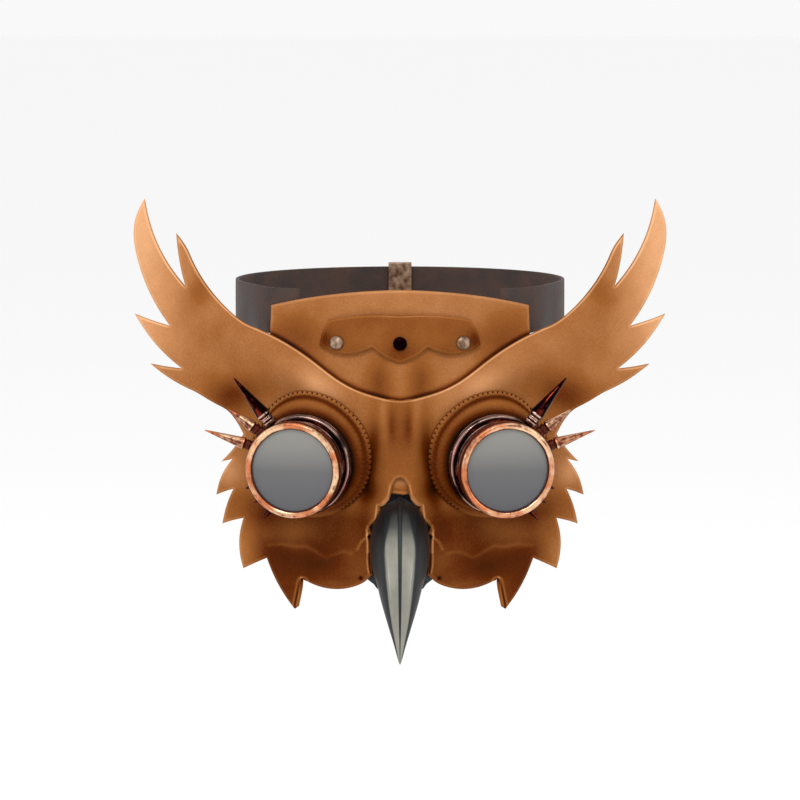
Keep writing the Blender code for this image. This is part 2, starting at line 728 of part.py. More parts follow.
def beak():
    """The beak's outer skin down to the tip, and the hollow inside its root."""
    made = bmesh.new()
    outer = [[made.verts.new(p) for p in beak_ring(s, 0)] for s in BEAK_STATIONS]
    inner = [[made.verts.new(p) for p in beak_ring(s, BEAK_WALL)] for s in BEAK_STATIONS[:HOLLOW_STATIONS]]
    tip = made.verts.new(beak_point(*BEAK_TIP))
    for first, second in zip(outer, outer[1:]):
        join_rings(made, first, second)
    for i, point in enumerate(outer[-1]):
        made.faces.new((point, outer[-1][(i + 1) % len(outer[-1])], tip))
    join_rings(made, inner[0], outer[0])
    for first, second in zip(inner, inner[1:]):
        join_rings(made, second, first)
    made.faces.new(inner[-1])
    return made


new_object("beak", beak(), GUNMETAL)


# Head strap: its ends lie behind the forehead panel, and it runs round the back of the head
STRAP_STEPS = 44
STRAP_BEHIND = behind_face + FOREHEAD_LEATHER + LAP_GAP
LEAVES_PANEL = 1.2 * STRAP_START  # how far out it starts to bend away from the face
CLEAR_OF_PANEL = 1.45 * STRAP_START  # how far out it has left the face for its oval


def strap_point(angle, height, inwards):
    """A point of the strap: angle from the front round the head, height over its middle line."""
    half_depth = 0.5 * STRAP_DEPTH
    z = STRAP_RISE + height
    across = (STRAP_HALF_WIDTH - inwards) * math.sin(angle)
    free = Vector((across, half_depth - (half_depth - inwards) * math.cos(angle), z))
    if math.cos(angle) < 0:
        return free
    side = math.copysign(1, angle)
    out = side * across
    laid = in_leather(side * min(out, CLEAR_OF_PANEL), z, STRAP_BEHIND + inwards)
    return laid.lerp(free, ease(LEAVES_PANEL, CLEAR_OF_PANEL, out))


def head_strap():
    """A flat band from behind the right end of the forehead panel round to the left one."""
    made = bmesh.new()
    start = math.asin(STRAP_START / STRAP_HALF_WIDTH)
    rings = []
    for step in range(STRAP_STEPS + 1):
        angle = start + (2 * math.pi - 2 * start) * step / STRAP_STEPS
        if angle > math.pi:
            angle -= 2 * math.pi
        half = 0.5 * STRAP_HEIGHT
        corners = ((-half, 0), (half, 0), (half, STRAP_WALL), (-half, STRAP_WALL))
        rings.append([made.verts.new(strap_point(angle, *corner)) for corner in corners])
    for first, second in zip(rings, rings[1:]):
        join_rings(made, first, second)
    made.faces.new(rings[0][::-1])
    made.faces.new(rings[-1])
    return made


new_object("head_strap", head_strap(), DARK_LEATHER)


def strap_buckle():
    """A plain slide: a flat tube of metal round the strap at the back of the head."""
    made = bmesh.new()
    hole_y = 0.5 * STRAP_WALL + BUCKLE_PLAY
    hole_z = 0.5 * STRAP_HEIGHT + BUCKLE_PLAY
    centre_y = STRAP_DEPTH - 0.5 * STRAP_WALL
    rings = []
    for x, wall in ((-1, 0), (1, 0), (1, BUCKLE_WALL), (-1, BUCKLE_WALL)):
        ring = []
        for y, z in ((-1, -1), (1, -1), (1, 1), (-1, 1)):
            point = (
                x * 0.5 * BUCKLE_WIDTH,
                centre_y + y * (hole_y + wall),
                STRAP_RISE + z * (hole_z + wall),
            )
            ring.append(made.verts.new(point))
        rings.append(ring)
    for first, second in zip(rings, rings[1:] + rings[:1]):
        join_rings(made, first, second)
    return made


new_object("strap_buckle", strap_buckle(), SILVER)
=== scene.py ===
import json
import math

import bmesh
import bpy
import numpy as np
from mathutils import Matrix, Vector, noise

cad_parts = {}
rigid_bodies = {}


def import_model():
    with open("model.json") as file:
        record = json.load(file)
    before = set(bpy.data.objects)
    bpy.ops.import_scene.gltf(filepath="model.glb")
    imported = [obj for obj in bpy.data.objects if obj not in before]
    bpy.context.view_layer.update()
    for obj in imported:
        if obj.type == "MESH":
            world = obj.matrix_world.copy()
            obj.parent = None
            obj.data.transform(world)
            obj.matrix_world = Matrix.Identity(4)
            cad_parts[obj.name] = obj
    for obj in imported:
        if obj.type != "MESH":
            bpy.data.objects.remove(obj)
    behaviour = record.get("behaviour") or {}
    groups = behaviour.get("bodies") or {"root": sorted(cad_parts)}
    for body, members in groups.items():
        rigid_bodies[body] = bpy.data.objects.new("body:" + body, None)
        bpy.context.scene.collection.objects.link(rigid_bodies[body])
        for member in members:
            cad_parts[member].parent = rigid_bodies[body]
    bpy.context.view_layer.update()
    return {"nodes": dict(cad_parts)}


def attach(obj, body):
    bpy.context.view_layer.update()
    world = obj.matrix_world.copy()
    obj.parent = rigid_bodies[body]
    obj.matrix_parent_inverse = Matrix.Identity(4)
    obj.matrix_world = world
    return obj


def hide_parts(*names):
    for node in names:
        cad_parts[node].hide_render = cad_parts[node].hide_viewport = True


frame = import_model()


# Face panel: one piece of vegetable-tanned leather with feathered horns and cheeks. It is cut out flat,
# wetted and pressed over a form, and its folds are worked in by hand. Its tone runs light on the horns and
# dark on the cheeks, with painted shade in its hollows, troughs and creases and under its brows, painted
# highlight on brows, ridges, lips and folds, and its cut edge is rounded and burnished light, with more
# painted highlight where it faces up and inwards.
HALF_WIDTH = 0.1525
HORN_HEIGHT = 0.110
CHEEK_DROP = 0.120
FACE_WALL = 0.0022
LAP_GAP = 0.0008
CUT_ANGLE = math.radians(55)  # between a leather piece's outer side and its cut edge
CORNER_ANGLE = math.radians(32)  # the outline turns by more than this at a tip or notch
EDGE_ROUND = 0.0005  # how far the rounding falls back
MERGED = 1e-5  # points closer than this are one
LIGHT_ABOVE, LIGHT_WITHIN = 0.6, 0.8  # an edge gets a painted highlight where it looks this far up and inwards, towards the lamps

# The form that the leather is pressed over
WRAP_RADIUS = 0.058  # how tightly it starts to bend back from the middle
WRAP_SLOPE_HORN = 0.56  # how steeply it runs back at the horns
WRAP_SLOPE_CHEEK = 0.44  # the same at the cheeks
WRAP_SPAN = (-0.17 * CHEEK_DROP, 0.36 * HORN_HEIGHT)  # heights from the cheeks' slope to the horns'
FOREHEAD_LEAN = 0.12
FOREHEAD_EASE = 0.18  # how slowly it starts to lean, as a share of HORN_HEIGHT
NOSE_RISE = 0.0095
NOSE_HALF_WIDTH = 0.0135
NOSE_SPAN = (0.32 * HORN_HEIGHT, -0.2 * CHEEK_DROP)
MUZZLE_RISE = 0.016
MUZZLE_HALF_WIDTH = 0.038
MUZZLE_SPAN = (0.08, 0.58)  # shares of CHEEK_DROP
BROW_RISE = 0.007
BROW_THICKNESS = 0.014
BROW_SLOPE = 0.5  # how steeply a brow runs up on its way out
BROW_START = (0.04, 0.21)  # where it sets in, as shares of HALF_WIDTH
BROW_END = (0.56, 0.82)  # where it runs out
CHEEK_RISE = 0.004
CHEEK_MIDDLE = (0.41, 0.71)  # shares of HALF_WIDTH and CHEEK_DROP
CHEEK_SPREAD = 0.175
HORN_ROOT = 0.68  # where a horn begins to flare forward, as a share of HALF_WIDTH
HORN_FLARE = 0.32
HORN_FLARE_SOFTNESS = 0.010
HORN_FLARE_SPAN = (-0.09 * HORN_HEIGHT, 0.27 * HORN_HEIGHT)


def only(piece):
    """Selects this piece alone, and makes it the one that is worked on."""
    bpy.ops.object.select_all(action="DESELECT")
    piece.select_set(True)
    bpy.context.view_layer.objects.active = piece


def finish_with(piece, kind, **settings):
    """Adds a modifier with these settings and applies it."""
    modifier = piece.modifiers.new(kind.title(), kind)
    for name, value in settings.items():
        setattr(modifier, name, value)
    only(piece)
    bpy.ops.object.modifier_apply(modifier=modifier.name)


def eased(start, end, value):
    """0 before start, 1 past end and a smooth step between them."""
    share = np.clip((value - start) / (end - start), 0.0, 1.0)
    return share * share * (3 - 2 * share)


def bell(distance, width):
    """1 at no distance, falling off smoothly over the width."""
    return np.exp(-((distance / width) ** 2))


def form(x, z):
    """Y of the face's outer side over a point of the front view, as the leather is pressed."""
    x = np.abs(x)
    across = x / HALF_WIDTH
    up = z / HORN_HEIGHT
    down = -z / CHEEK_DROP
    slope = WRAP_SLOPE_CHEEK + (WRAP_SLOPE_HORN - WRAP_SLOPE_CHEEK) * eased(*WRAP_SPAN, z)
    y = slope * WRAP_RADIUS * (np.hypot(1, x / WRAP_RADIUS) - 1)
    rise = np.maximum(up, 0)
    y = y + FOREHEAD_LEAN * HORN_HEIGHT * rise * rise / (rise + FOREHEAD_EASE)
    y = y - NOSE_RISE * eased(*NOSE_SPAN, z) / (1 + (x / NOSE_HALF_WIDTH) ** 4)
    y = y - MUZZLE_RISE * eased(*MUZZLE_SPAN, down) * bell(x, MUZZLE_HALF_WIDTH)
    above_brow = z - BROW_SLOPE * x + BROW_THICKNESS
    along_brow = eased(*BROW_START, across) * (1 - eased(*BROW_END, across))
    y = y - BROW_RISE * bell(above_brow, BROW_THICKNESS) * along_brow
    y = y - CHEEK_RISE * bell(np.hypot(across - CHEEK_MIDDLE[0], down - CHEEK_MIDDLE[1]), CHEEK_SPREAD)
    past_root = (across - HORN_ROOT) * HALF_WIDTH / HORN_FLARE_SOFTNESS
    flare = HORN_FLARE_SOFTNESS * np.log1p(np.exp(past_root))
    return y - HORN_FLARE * flare * eased(*HORN_FLARE_SPAN, z) - FACE_WALL


def slopes(x, z):
    """How fast the form falls back on the way out and on the way up."""
    reach = 2e-4
    slope_x = (form(x + reach, z) - form(x - reach, z)) / (2 * reach)
    slope_z = (form(x, z + reach) - form(x, z - reach)) / (2 * reach)
    return slope_x, slope_z


def off_line(x, z, line):
    """Distance of each point from a line through the given points of the front view."""
    nearest = np.full(np.shape(x), 1.0)
    for (x0, z0), (x1, z1) in zip(line, line[1:]):
        run_x, run_z = x1 - x0, z1 - z0
        share = np.clip(((x - x0) * run_x + (z - z0) * run_z) / (run_x**2 + run_z**2), 0, 1)
        nearest = np.minimum(nearest, np.hypot(x - x0 - share * run_x, z - z0 - share * run_z))
    return nearest


def places_of(piece):
    """The piece's points, one row each."""
    places = np.empty(len(piece.data.vertices) * 3)
    piece.data.vertices.foreach_get("co", places)
    return places.reshape(-1, 3)


def put(piece, places):
    """Sets the piece's points."""
    piece.data.vertices.foreach_set("co", np.asarray(places, float).ravel())
    piece.data.update()


def note(piece, name, values):
    """Keeps a number for each point of the piece, for its finish to read."""
    kept = piece.data.attributes.new(name, "FLOAT", "POINT")
    kept.data.foreach_set("value", np.asarray(values, np.float32))


def merged_copy(name, node):
    """A copy of a node's solid with its faces joined up, open in edit mode with all of it selected."""
    piece = bpy.data.objects.new(name, frame["nodes"][node].data.copy())
    bpy.context.scene.collection.objects.link(piece)
    piece.data.materials.clear()
    only(piece)
    bpy.ops.mesh.customdata_custom_splitnormals_clear()
    bpy.ops.object.mode_set(mode="EDIT")
    bpy.ops.mesh.select_all(action="SELECT")
    bpy.ops.mesh.remove_doubles(threshold=MERGED)
    return piece


def joined_to_quads(limit):
    """Joins the selected triangles into four-sided faces, where they meet at less than this angle."""
    bpy.ops.mesh.tris_convert_to_quads(face_threshold=limit, shape_threshold=math.radians(60))


def outer_side(name, node):
    """The outer side of a moulded piece: a copy of its solid, its back and cut edge cleared away."""
    piece = merged_copy(name, node)
    bpy.ops.mesh.select_mode(type="EDGE")
    bpy.ops.mesh.select_all(action="DESELECT")
    bpy.ops.mesh.edges_select_sharp(sharpness=CUT_ANGLE)
    bpy.ops.mesh.mark_seam()
    bpy.ops.mesh.select_mode(type="FACE")
    bpy.ops.mesh.select_all(action="DESELECT")
    bpy.ops.object.mode_set(mode="OBJECT")
    front = min(piece.data.polygons, key=lambda face: face.normal.y)
    front.select = True
    bpy.ops.object.mode_set(mode="EDIT")
    bpy.ops.mesh.select_linked(delimit={"SEAM"})
    bpy.ops.mesh.select_all(action="INVERT")
    bpy.ops.mesh.delete(type="FACE")
    bpy.ops.mesh.select_all(action="SELECT")
    bpy.ops.mesh.mark_seam(clear=True)
    joined_to_quads(math.radians(60))
    bpy.ops.object.mode_set(mode="OBJECT")
    return piece


def outline_of(piece):
    """The edges of the piece's outline, each with the middle of the one face on it."""
    beside = {}
    for face in piece.data.polygons:
        for edge in face.edge_keys:
            beside.setdefault(edge, []).append(face.center)
    return {edge: middles[0] for edge, middles in beside.items() if len(middles) == 1}


def keep_tips(piece):
    """Creases the tips and notches of the outline, so that smoothing leaves them pointed."""
    beside = {}
    for start, end in outline_of(piece):
        beside.setdefault(start, []).append(end)
        beside.setdefault(end, []).append(start)
    bpy.ops.object.mode_set(mode="EDIT")
    bpy.ops.mesh.select_mode(type="VERT")
    bpy.ops.mesh.select_all(action="DESELECT")
    bpy.ops.object.mode_set(mode="OBJECT")
    points = piece.data.vertices
    for corner, ends in beside.items():
        before = points[corner].co - points[ends[0]].co
        after = points[ends[1]].co - points[corner].co
        points[corner].select = before.angle(after) > CORNER_ANGLE
    bpy.ops.object.mode_set(mode="EDIT")
    bpy.ops.transform.vert_crease(value=1.0)
    bpy.ops.object.mode_set(mode="OBJECT")


def from_outline(piece, x, z):
    """Distance of each point from the outline, and how far that stretch of it looks up and inwards, towards
    the lamps.
    """
    nearest = np.full(len(x), 1.0)
    lit = np.zeros(len(x))
    for (start, end), middle in outline_of(piece).items():
        run_x, run_z = x[end] - x[start], z[end] - z[start]
        length = math.hypot(run_x, run_z)
        share = np.clip(((x - x[start]) * run_x + (z - z[start]) * run_z) / length**2, 0, 1)
        off = np.hypot(x - x[start] - share * run_x, z - z[start] - share * run_z)
        out_x, out_z = run_z / length, -run_x / length
        if (middle.x - x[start]) * out_x + (middle.z - z[start]) * out_z > 0:
            out_x, out_z = -out_x, -out_z
        towards_light = LIGHT_ABOVE * out_z - LIGHT_WITHIN * out_x * math.copysign(1, x[start])
        lit = np.where(off < nearest, towards_light, lit)
        nearest = np.minimum(nearest, off)
    return nearest, eased(0.4, 0.9, lit)


def moulded(name, node, depth, wall, relief, tone_and_painted_light, fine=None, trim=None):
    """A leather piece: cut to its solid's outline, pressed on the form at this depth, worked and toned.

    relief gives how far the leather is worked out of the form, and the next argument its tone, from dark 0 to
    light 1;
    that tone holds painted light and shade as well as the leather's own tone.
    fine picks the places where the leather is worked in smaller folds, and trim rounds the outline.
    """
    piece = outer_side(name, node)
    keep_tips(piece)
    finish_with(piece, "SUBSURF", levels=2, render_levels=2, boundary_smooth="PRESERVE_CORNERS")
    bpy.ops.object.mode_set(mode="EDIT")
    bpy.ops.mesh.select_mode(type="FACE")
    if fine is not None:
        bpy.ops.mesh.select_all(action="DESELECT")
        bpy.ops.object.mode_set(mode="OBJECT")
        for face in piece.data.polygons:
            face.select = bool(fine(abs(face.center.x), face.center.z))
        bpy.ops.object.mode_set(mode="EDIT")
        bpy.ops.mesh.subdivide(number_cuts=2)
    bpy.ops.mesh.select_all(action="SELECT")
    bpy.ops.mesh.region_to_loop()
    bpy.ops.object.mode_set(mode="OBJECT")
    on_edge = np.array([point.select for point in piece.data.vertices])
    x, y, z = places_of(piece).T
    if trim is not None:
        z = z + trim(x, z)
    slope_x, slope_z = slopes(x, z)
    y = form(x, z) + (depth - relief(x, z)) * np.sqrt(1 + slope_x**2 + slope_z**2)
    put(piece, np.column_stack((x, y, z)))
    off_edge, lit_edge = from_outline(piece, x, z)
    note(piece, "tone", tone_and_painted_light(x, z))
    note(piece, "rim", on_edge)
    note(piece, "off_edge", off_edge)
    note(piece, "lit_edge", lit_edge)
    finish_with(piece, "SOLIDIFY", thickness=wall, offset=-1.0, use_quality_normals=True)
    # The other side's points follow in the same order, so each pair on the cut edge is drawn together
    places = places_of(piece)
    outer = np.flatnonzero(on_edge)
    inner = outer + len(on_edge)
    fall = (places[inner] - places[outer]) * (EDGE_ROUND / wall)
    places[outer] += fall
    places[inner] -= fall
    put(piece, places)
    note(piece, "flesh", np.repeat((0.0, 1.0), len(on_edge)))
    bpy.ops.object.shade_smooth_by_angle(angle=math.radians(80))
    return piece


class Tone:
    """A number that changes over a surface, so that sums with it are written as sums."""

    def __init__(self, finish, socket):
        self.finish = finish
        self.socket = socket

    def worked(self, operation, *values):
        return self.finish.node("ShaderNodeMath", {"operation": operation}, dict(enumerate(values)))

    def __add__(self, other):
        return self.worked("ADD", self, other)

    def __radd__(self, other):
        return self.worked("ADD", other, self)

    def __sub__(self, other):
        return self.worked("SUBTRACT", self, other)

    def __rsub__(self, other):
        return self.worked("SUBTRACT", other, self)

    def __mul__(self, other):
        return self.worked("MULTIPLY", self, other)

    def __rmul__(self, other):
        return self.worked("MULTIPLY", other, self)

    def between(self, start, end):
        """0 up to start, 1 from end and a smooth step between them."""
        sockets = {"Value": self, "From Min": start, "From Max": end}
        return self.finish.node("ShaderNodeMapRange", {"interpolation_type": "SMOOTHSTEP"}, sockets)


class Finish:
    """A finish under way: what it is mixed from, and the shader that it ends in."""

    def __init__(self, name):
        self.material = bpy.data.materials.new(name)
        self.material.use_nodes = True
        self.tree = self.material.node_tree
        self.shader = self.tree.nodes["Principled BSDF"]

    def node(self, kind, settings, sockets, output=0):
        """Adds a node with its settings first and its sockets next, and gives one of its outputs."""
        made = self.tree.nodes.new(kind)
        for name, value in settings.items():
            if name == "stops":
                stops = made.color_ramp.elements
                for place, colour in value[1:-1]:
                    stops.new(place).color = colour
                stops[0].position, stops[0].color = value[0]
                stops[-1].position, stops[-1].color = value[-1]
            else:
                setattr(made, name, value)
        for name, value in sockets.items():
            self.feed(made.inputs[name], value)
        return Tone(self, made.outputs[output])

    def feed(self, socket, value):
        """Links a tone to a socket, or sets a plain value on it."""
        if isinstance(value, Tone):
            self.tree.links.new(value.socket, socket)
        else:
            socket.default_value = value

    def surface(self, **values):
        """Feeds the shader: Base_Color=... feeds Base Color."""
        for name, value in values.items():
            self.feed(self.shader.inputs[name.replace("_", " ")], value)

    def place(self):
        return self.node("ShaderNodeTexCoord", {}, {}, "Object")

    def kept(self, name, output="Fac"):
        """A number or vector that the piece keeps for each point."""
        return self.node("ShaderNodeAttribute", {"attribute_name": name}, {}, output)

    def cloud(self, place, scale, detail=2.0):
        """Soft blotches of about 1 / scale metres."""
        sockets = {"Vector": place, "Scale": scale, "Detail": detail}
        return self.node("ShaderNodeTexNoise", {}, sockets, "Fac")

    def grain(self, place, scale):
        """Small cells of about 1 / scale metres, low in their middles."""
        return self.node("ShaderNodeTexVoronoi", {}, {"Vector": place, "Scale": scale}, "Distance")

    def shades(self, share, *stops):
        """A colour that runs through these (share, colour) stops."""
        return self.node("ShaderNodeValToRGB", {"stops": stops}, {"Fac": share}, "Color")

    def mixed(self, share, first, second):
        """The first colour where share is 0 and the second where it is 1."""
        return self.node("ShaderNodeMix", {"data_type": "RGBA"}, {0: share, 6: first, 7: second}, 2)

    def bumped(self, height, depth):
        """The surface raised by height, which counts in this depth."""
        sockets = {"Height": height, "Distance": depth, "Strength": 1.0}
        return self.node("ShaderNodeBump", {}, sockets, "Normal")


def shade(red, green, blue):
    """A colour from its three parts out of 255, as it looks in plain light."""
    parts = (red / 255, green / 255, blue / 255)
    linear = (((part + 0.055) / 1.055) ** 2.4 if part > 0.04 else part / 12.92 for part in parts)
    return (*linear, 1.0)


LEATHER_SHADES = (
    (0.00, shade(30, 9, 0)),
    (0.22, shade(88, 35, 0)),
    (0.50, shade(143, 85, 38)),
    (0.76, shade(190, 132, 86)),
    (1.00, shade(228, 172, 126)),
)

tan = Finish("tan_leather_worked")
on_skin = tan.place()
blotch = tan.cloud(on_skin, 55.0, 3.0)
fleck = tan.cloud(on_skin, 1150.0, 2.0)
pores = tan.grain(on_skin, 1500.0)
off_edge = tan.kept("off_edge")
lit_edge = tan.kept("lit_edge")
# The cut edge is rounded and burnished light, and painted light lies over that: a light line beside the edge
# that is brighter where the edge faces up and inwards, as a painted highlight, and a dark painted shade on
# the cut there.
beside_edge = off_edge.between(0.0003, 0.0007) * (1 - off_edge.between(0.0010, 0.0017))
on_cut = 1 - off_edge.between(0.0002, 0.0006)
edge_polish_and_highlight = beside_edge * (0.09 + 0.20 * lit_edge) + on_cut * (0.10 - 0.22 * lit_edge)
depth_of_tone = tan.kept("tone") + 0.18 * (blotch - 0.5) + 0.15 * (fleck - 0.5) + edge_polish_and_highlight
flesh = tan.kept("flesh").between(0.4, 0.9)
suede = tan.shades(0.5 * fleck + 0.5 * blotch, (0.3, shade(136, 92, 56)), (0.7, shade(186, 142, 100)))
tan.surface(
    Base_Color=tan.mixed(flesh, tan.shades(depth_of_tone, *LEATHER_SHADES), suede),
    Roughness=0.50 + 0.22 * (blotch - 0.5) - 0.14 * tan.kept("rim") + 0.35 * flesh,
    Normal=tan.bumped(0.6 * fleck + 0.4 * pores, 0.00018),
)
tan.shader.inputs["Specular IOR Level"].default_value = 0.04

CHEEK_CREASE = (
    (0.0740, -0.0835),
    (0.0663, -0.0822),
    (0.0577, -0.0832),
    (0.0526, -0.0826),
    (0.0476, -0.0852),
    (0.0435, -0.0876),
    (0.0405, -0.0886),
    (0.0364, -0.0862),
    (0.0319, -0.0844),
    (0.0270, -0.0850),
)
BEAK_FOLD = ((0.0176, -0.0725), (0.0190, -0.0758), (0.0216, -0.0780), (0.0238, -0.0826))
UPPER_LIP = ((0.0066, -0.0525), (0.0098, -0.0560), (0.0124, -0.0590), (0.0140, -0.0645), (0.0162, -0.0670))
LOWER_LIP = ((0.0180, -0.0690), (0.0182, -0.0745), (0.0178, -0.0835))
LACE_HOLE = (0.0219, -0.0988)
TURNED_EDGE = ((0.0548, -0.1035), (0.0562, -0.1100), (0.0578, -0.1178))  # inner edge of the longest feather


def face_relief(x, z):
    """Trough of the nose, lips beside the beak, thin folds and the crease across each cheek."""
    across = np.abs(x)
    trough = eased(0.0088, 0.0048, across) * eased(-0.0275, -0.0160, z) * (1 - eased(-0.0015, 0.0035, z))
    raised = -0.0009 * trough * (1 - 0.75 * bell(across, 0.0026))
    lips = bell(off_line(across, z, UPPER_LIP), 0.0011) + bell(off_line(across, z, LOWER_LIP), 0.0010)
    raised += 0.0008 * np.minimum(lips, 1)
    raised += 0.0009 * bell(off_line(across, z, BEAK_FOLD), 0.0007)
    above = z - np.interp(across, *zip(*CHEEK_CREASE[::-1]))
    along = eased(0.024, 0.034, across) * (1 - eased(0.066, 0.078, across))
    raised += 0.0011 * along * np.where(above > 0, np.exp(-above / 0.0055), np.exp(above / 0.0011))
    raised -= 0.0012 * along * bell(above + 0.0050, 0.0042)
    raised += 0.0006 * bell(off_line(across, z, TURNED_EDGE), 0.0014)
    raised -= 0.0009 * bell(np.hypot(across - LACE_HOLE[0], z - LACE_HOLE[1]), 0.0009)
    swell = np.array([noise.noise(Vector((float(a), 0.3, float(b))) * 34) for a, b in zip(x, z)])
    return raised + 0.00035 * swell


def dabbed(x, z, dabs):
    """Tone laid on in oval dabs, each given as tone, middle, spread both ways and turn in degrees."""
    tone = 0.0
    for amount, middle, spread, turn in dabs:
        cosine, sine = math.cos(math.radians(turn)), math.sin(math.radians(turn))
        off_x, off_z = np.abs(x) - middle[0], z - middle[1]
        along = bell(off_x * cosine + off_z * sine, spread[0])
        tone = tone + amount * along * bell(off_z * cosine - off_x * sine, spread[1])
    return tone


# Most of these dabs are painted light and shade: painted shade in the nose's trough and the hollows beside
# it, under the brow over the spikes, at the upper feather's root, under the cheek's crease and in the lace
# hole, and painted highlight on the ridges beside the nose, on the brow and on the cheek over its crease.
FACE_DABS = (
    (-0.19, (0.0, -0.020), (0.0140, 0.030), 0),  # trough of the nose
    (-0.08, (0.0125, -0.028), (0.0050, 0.016), 8),
    (-0.14, (0.0050, -0.013), (0.0026, 0.011), 0),
    (0.14, (0.0095, -0.012), (0.0035, 0.016), 0),  # ridges beside it
    (-0.40, (0.0170, -0.034), (0.0040, 0.020), 8),  # hollow between nose and eye patch
    (-0.32, (0.0185, -0.050), (0.0075, 0.008), 0),
    (0.22, (0.046, 0.0085), (0.013, 0.0065), 28),  # brow
    (-0.17, (0.098, 0.004), (0.015, 0.008), -20),  # wing over the spikes
    (-0.24, (0.093, -0.003), (0.018, 0.0085), -25),
    (-0.09, (0.114, 0.058), (0.007, 0.014), 40),  # root of the upper feather
    (0.19, (0.096, -0.043), (0.007, 0.008), 0),  # tips of the cheek feathers
    (0.15, (0.086, -0.090), (0.008, 0.014), 0),
    (-0.12, (0.083, -0.058), (0.010, 0.024), 80),  # roots of the cheek feathers
    (-0.06, (0.070, -0.086), (0.014, 0.006), 4),
    (0.16, (0.060, -0.075), (0.017, 0.008), -10),  # cheek over its crease
    (-0.08, (0.046, -0.0935), (0.024, 0.0065), -4),  # cheek under it
    (0.10, (0.024, -0.092), (0.012, 0.010), 0),
    (0.10, (0.034, -0.104), (0.016, 0.003), 0),
    (-0.50, LACE_HOLE, (0.0009, 0.0009), 0),
)


def face_tone_and_painted_light(x, z):
    """Light horns and feather tips and dark cheeks, with painted light and shade on brows, nose, lips, folds
    and creases.
    """
    across = np.abs(x)
    tone = 0.56 + 0.29 * eased(0.112, 0.150, across) * eased(-0.005, 0.040, z)
    tone += 0.07 * eased(0.050, 0.110, z) + dabbed(x, z, FACE_DABS)
    cheek = eased(-0.052, -0.068, z) * eased(0.006, 0.020, across)
    tone -= 0.33 * cheek * (1 - eased(0.072, 0.100, across))
    # Painted highlight on the raised lips and folds; on the turned edge of the longest feather, painted
    # highlight on its two edges with a painted shade line in the fold between them.
    lips = 0.4 * bell(off_line(across, z, UPPER_LIP), 0.0009)
    lips += 0.7 * bell(off_line(across, z, LOWER_LIP), 0.0008)
    folds = 1.3 * bell(off_line(across, z, BEAK_FOLD), 0.0006)
    folds += 0.35 * bell(off_line(across, z, CHEEK_CREASE), 0.0012)
    tone += 0.28 * np.minimum(lips, 1) + 0.22 * np.minimum(folds, 1)
    off_turned = off_line(across, z, TURNED_EDGE)
    tone += 0.24 * bell(off_turned, 0.0007) + 0.22 * bell(off_turned - 0.0028, 0.0007)
    return tone - 0.24 * bell(off_turned - 0.0017, 0.0006)


def face_trim(x, z):
    """Rounds the arch over the beak, which its solid draws with few corners."""
    across = np.abs(x)
    lift = 0.0012 * np.sin(np.pi * np.minimum(across / 0.0044, 1.0))
    return lift * eased(-0.052, -0.046, z) * (1 - eased(-0.038, -0.030, z))


def face_fine(x, z):
    """Where the face is worked in small folds."""
    beside_beak = x < 0.030 and -0.104 < z < -0.040
    feather = 0.050 < x < 0.062 and z < -0.098
    creased = 0.022 < x < 0.080 and -0.098 < z < -0.076
    nose = x < 0.014 and -0.040 < z < 0.006
    return beside_beak or creased or nose or feather


face = moulded("face", "face_panel", 0.0, FACE_WALL, face_relief, face_tone_and_painted_light, face_fine, face_trim)
face.data.materials.append(tan.material)
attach(face, "root")
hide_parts("face_panel")


# Forehead panel: a second piece of the same leather that closes the V between the brows. It lies behind the
# face and is pressed on the same form, with a soft ridge up its middle.
FOREHEAD_DEPTH = FACE_WALL + LAP_GAP
FOREHEAD_WALL = 0.0020


def forehead_relief(x, z):
    """A flat ridge up the middle between two shallow hollows."""
    low = 1 - eased(0.016, 0.030, z)
    ridge = 0.0008 * eased(0.0085, 0.0045, np.abs(x)) * low
    return ridge + low * dabbed(x, z, [(-0.0007, (0.011, 0.010), (0.006, 0.014), 0)])


rims = np.empty(len(face.data.vertices), np.float32)
face.data.attributes["rim"].data.foreach_get("value", rims)
outer_half = len(rims) // 2
brow_edge = places_of(face)[:outer_half][rims[:outer_half] > 0.5]
brow_edge = brow_edge[(brow_edge[:, 2] > -0.002) & (np.abs(brow_edge[:, 0]) < 0.085)][:, (0, 2)]
brow_edge = sorted(tuple(point) for point in brow_edge)


# Painted shade under the ends of the crest and in the hollows beside the ridge.
FOREHEAD_DABS = (
    (-0.22, (0.058, 0.036), (0.016, 0.012), 30),  # under the ends of the crest
    (-0.24, (0.0115, 0.011), (0.0070, 0.011), 0),  # hollows beside the ridge
    (-0.07, (0.0, 0.030), (0.030, 0.010), 0),
)


def forehead_tone_and_painted_shade(x, z):
    """Light on the ridge, with painted shade in the hollows and under the crest's ends, and a painted shadow
    along the brow's edge.
    """
    off_brow = off_line(x, z, brow_edge)
    tone = 0.60 + dabbed(x, z, FOREHEAD_DABS)
    # The brow's edge casts a painted shadow on the forehead.
    tone -= 0.40 * bell(off_brow, 0.0015) + 0.06 * bell(off_brow, 0.0055)
    return tone - 0.02 * eased(0.0070, 0.0040, np.abs(x)) * (1 - eased(0.016, 0.024, z))


forehead = moulded(
    "forehead",
    "forehead_panel",
    FOREHEAD_DEPTH,
    FOREHEAD_WALL,
    forehead_relief,
    forehead_tone_and_painted_shade,
    lambda x, z: z < 0.045,
)
forehead.data.materials.append(tan.material)
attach(forehead, "root")
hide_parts("forehead_panel")


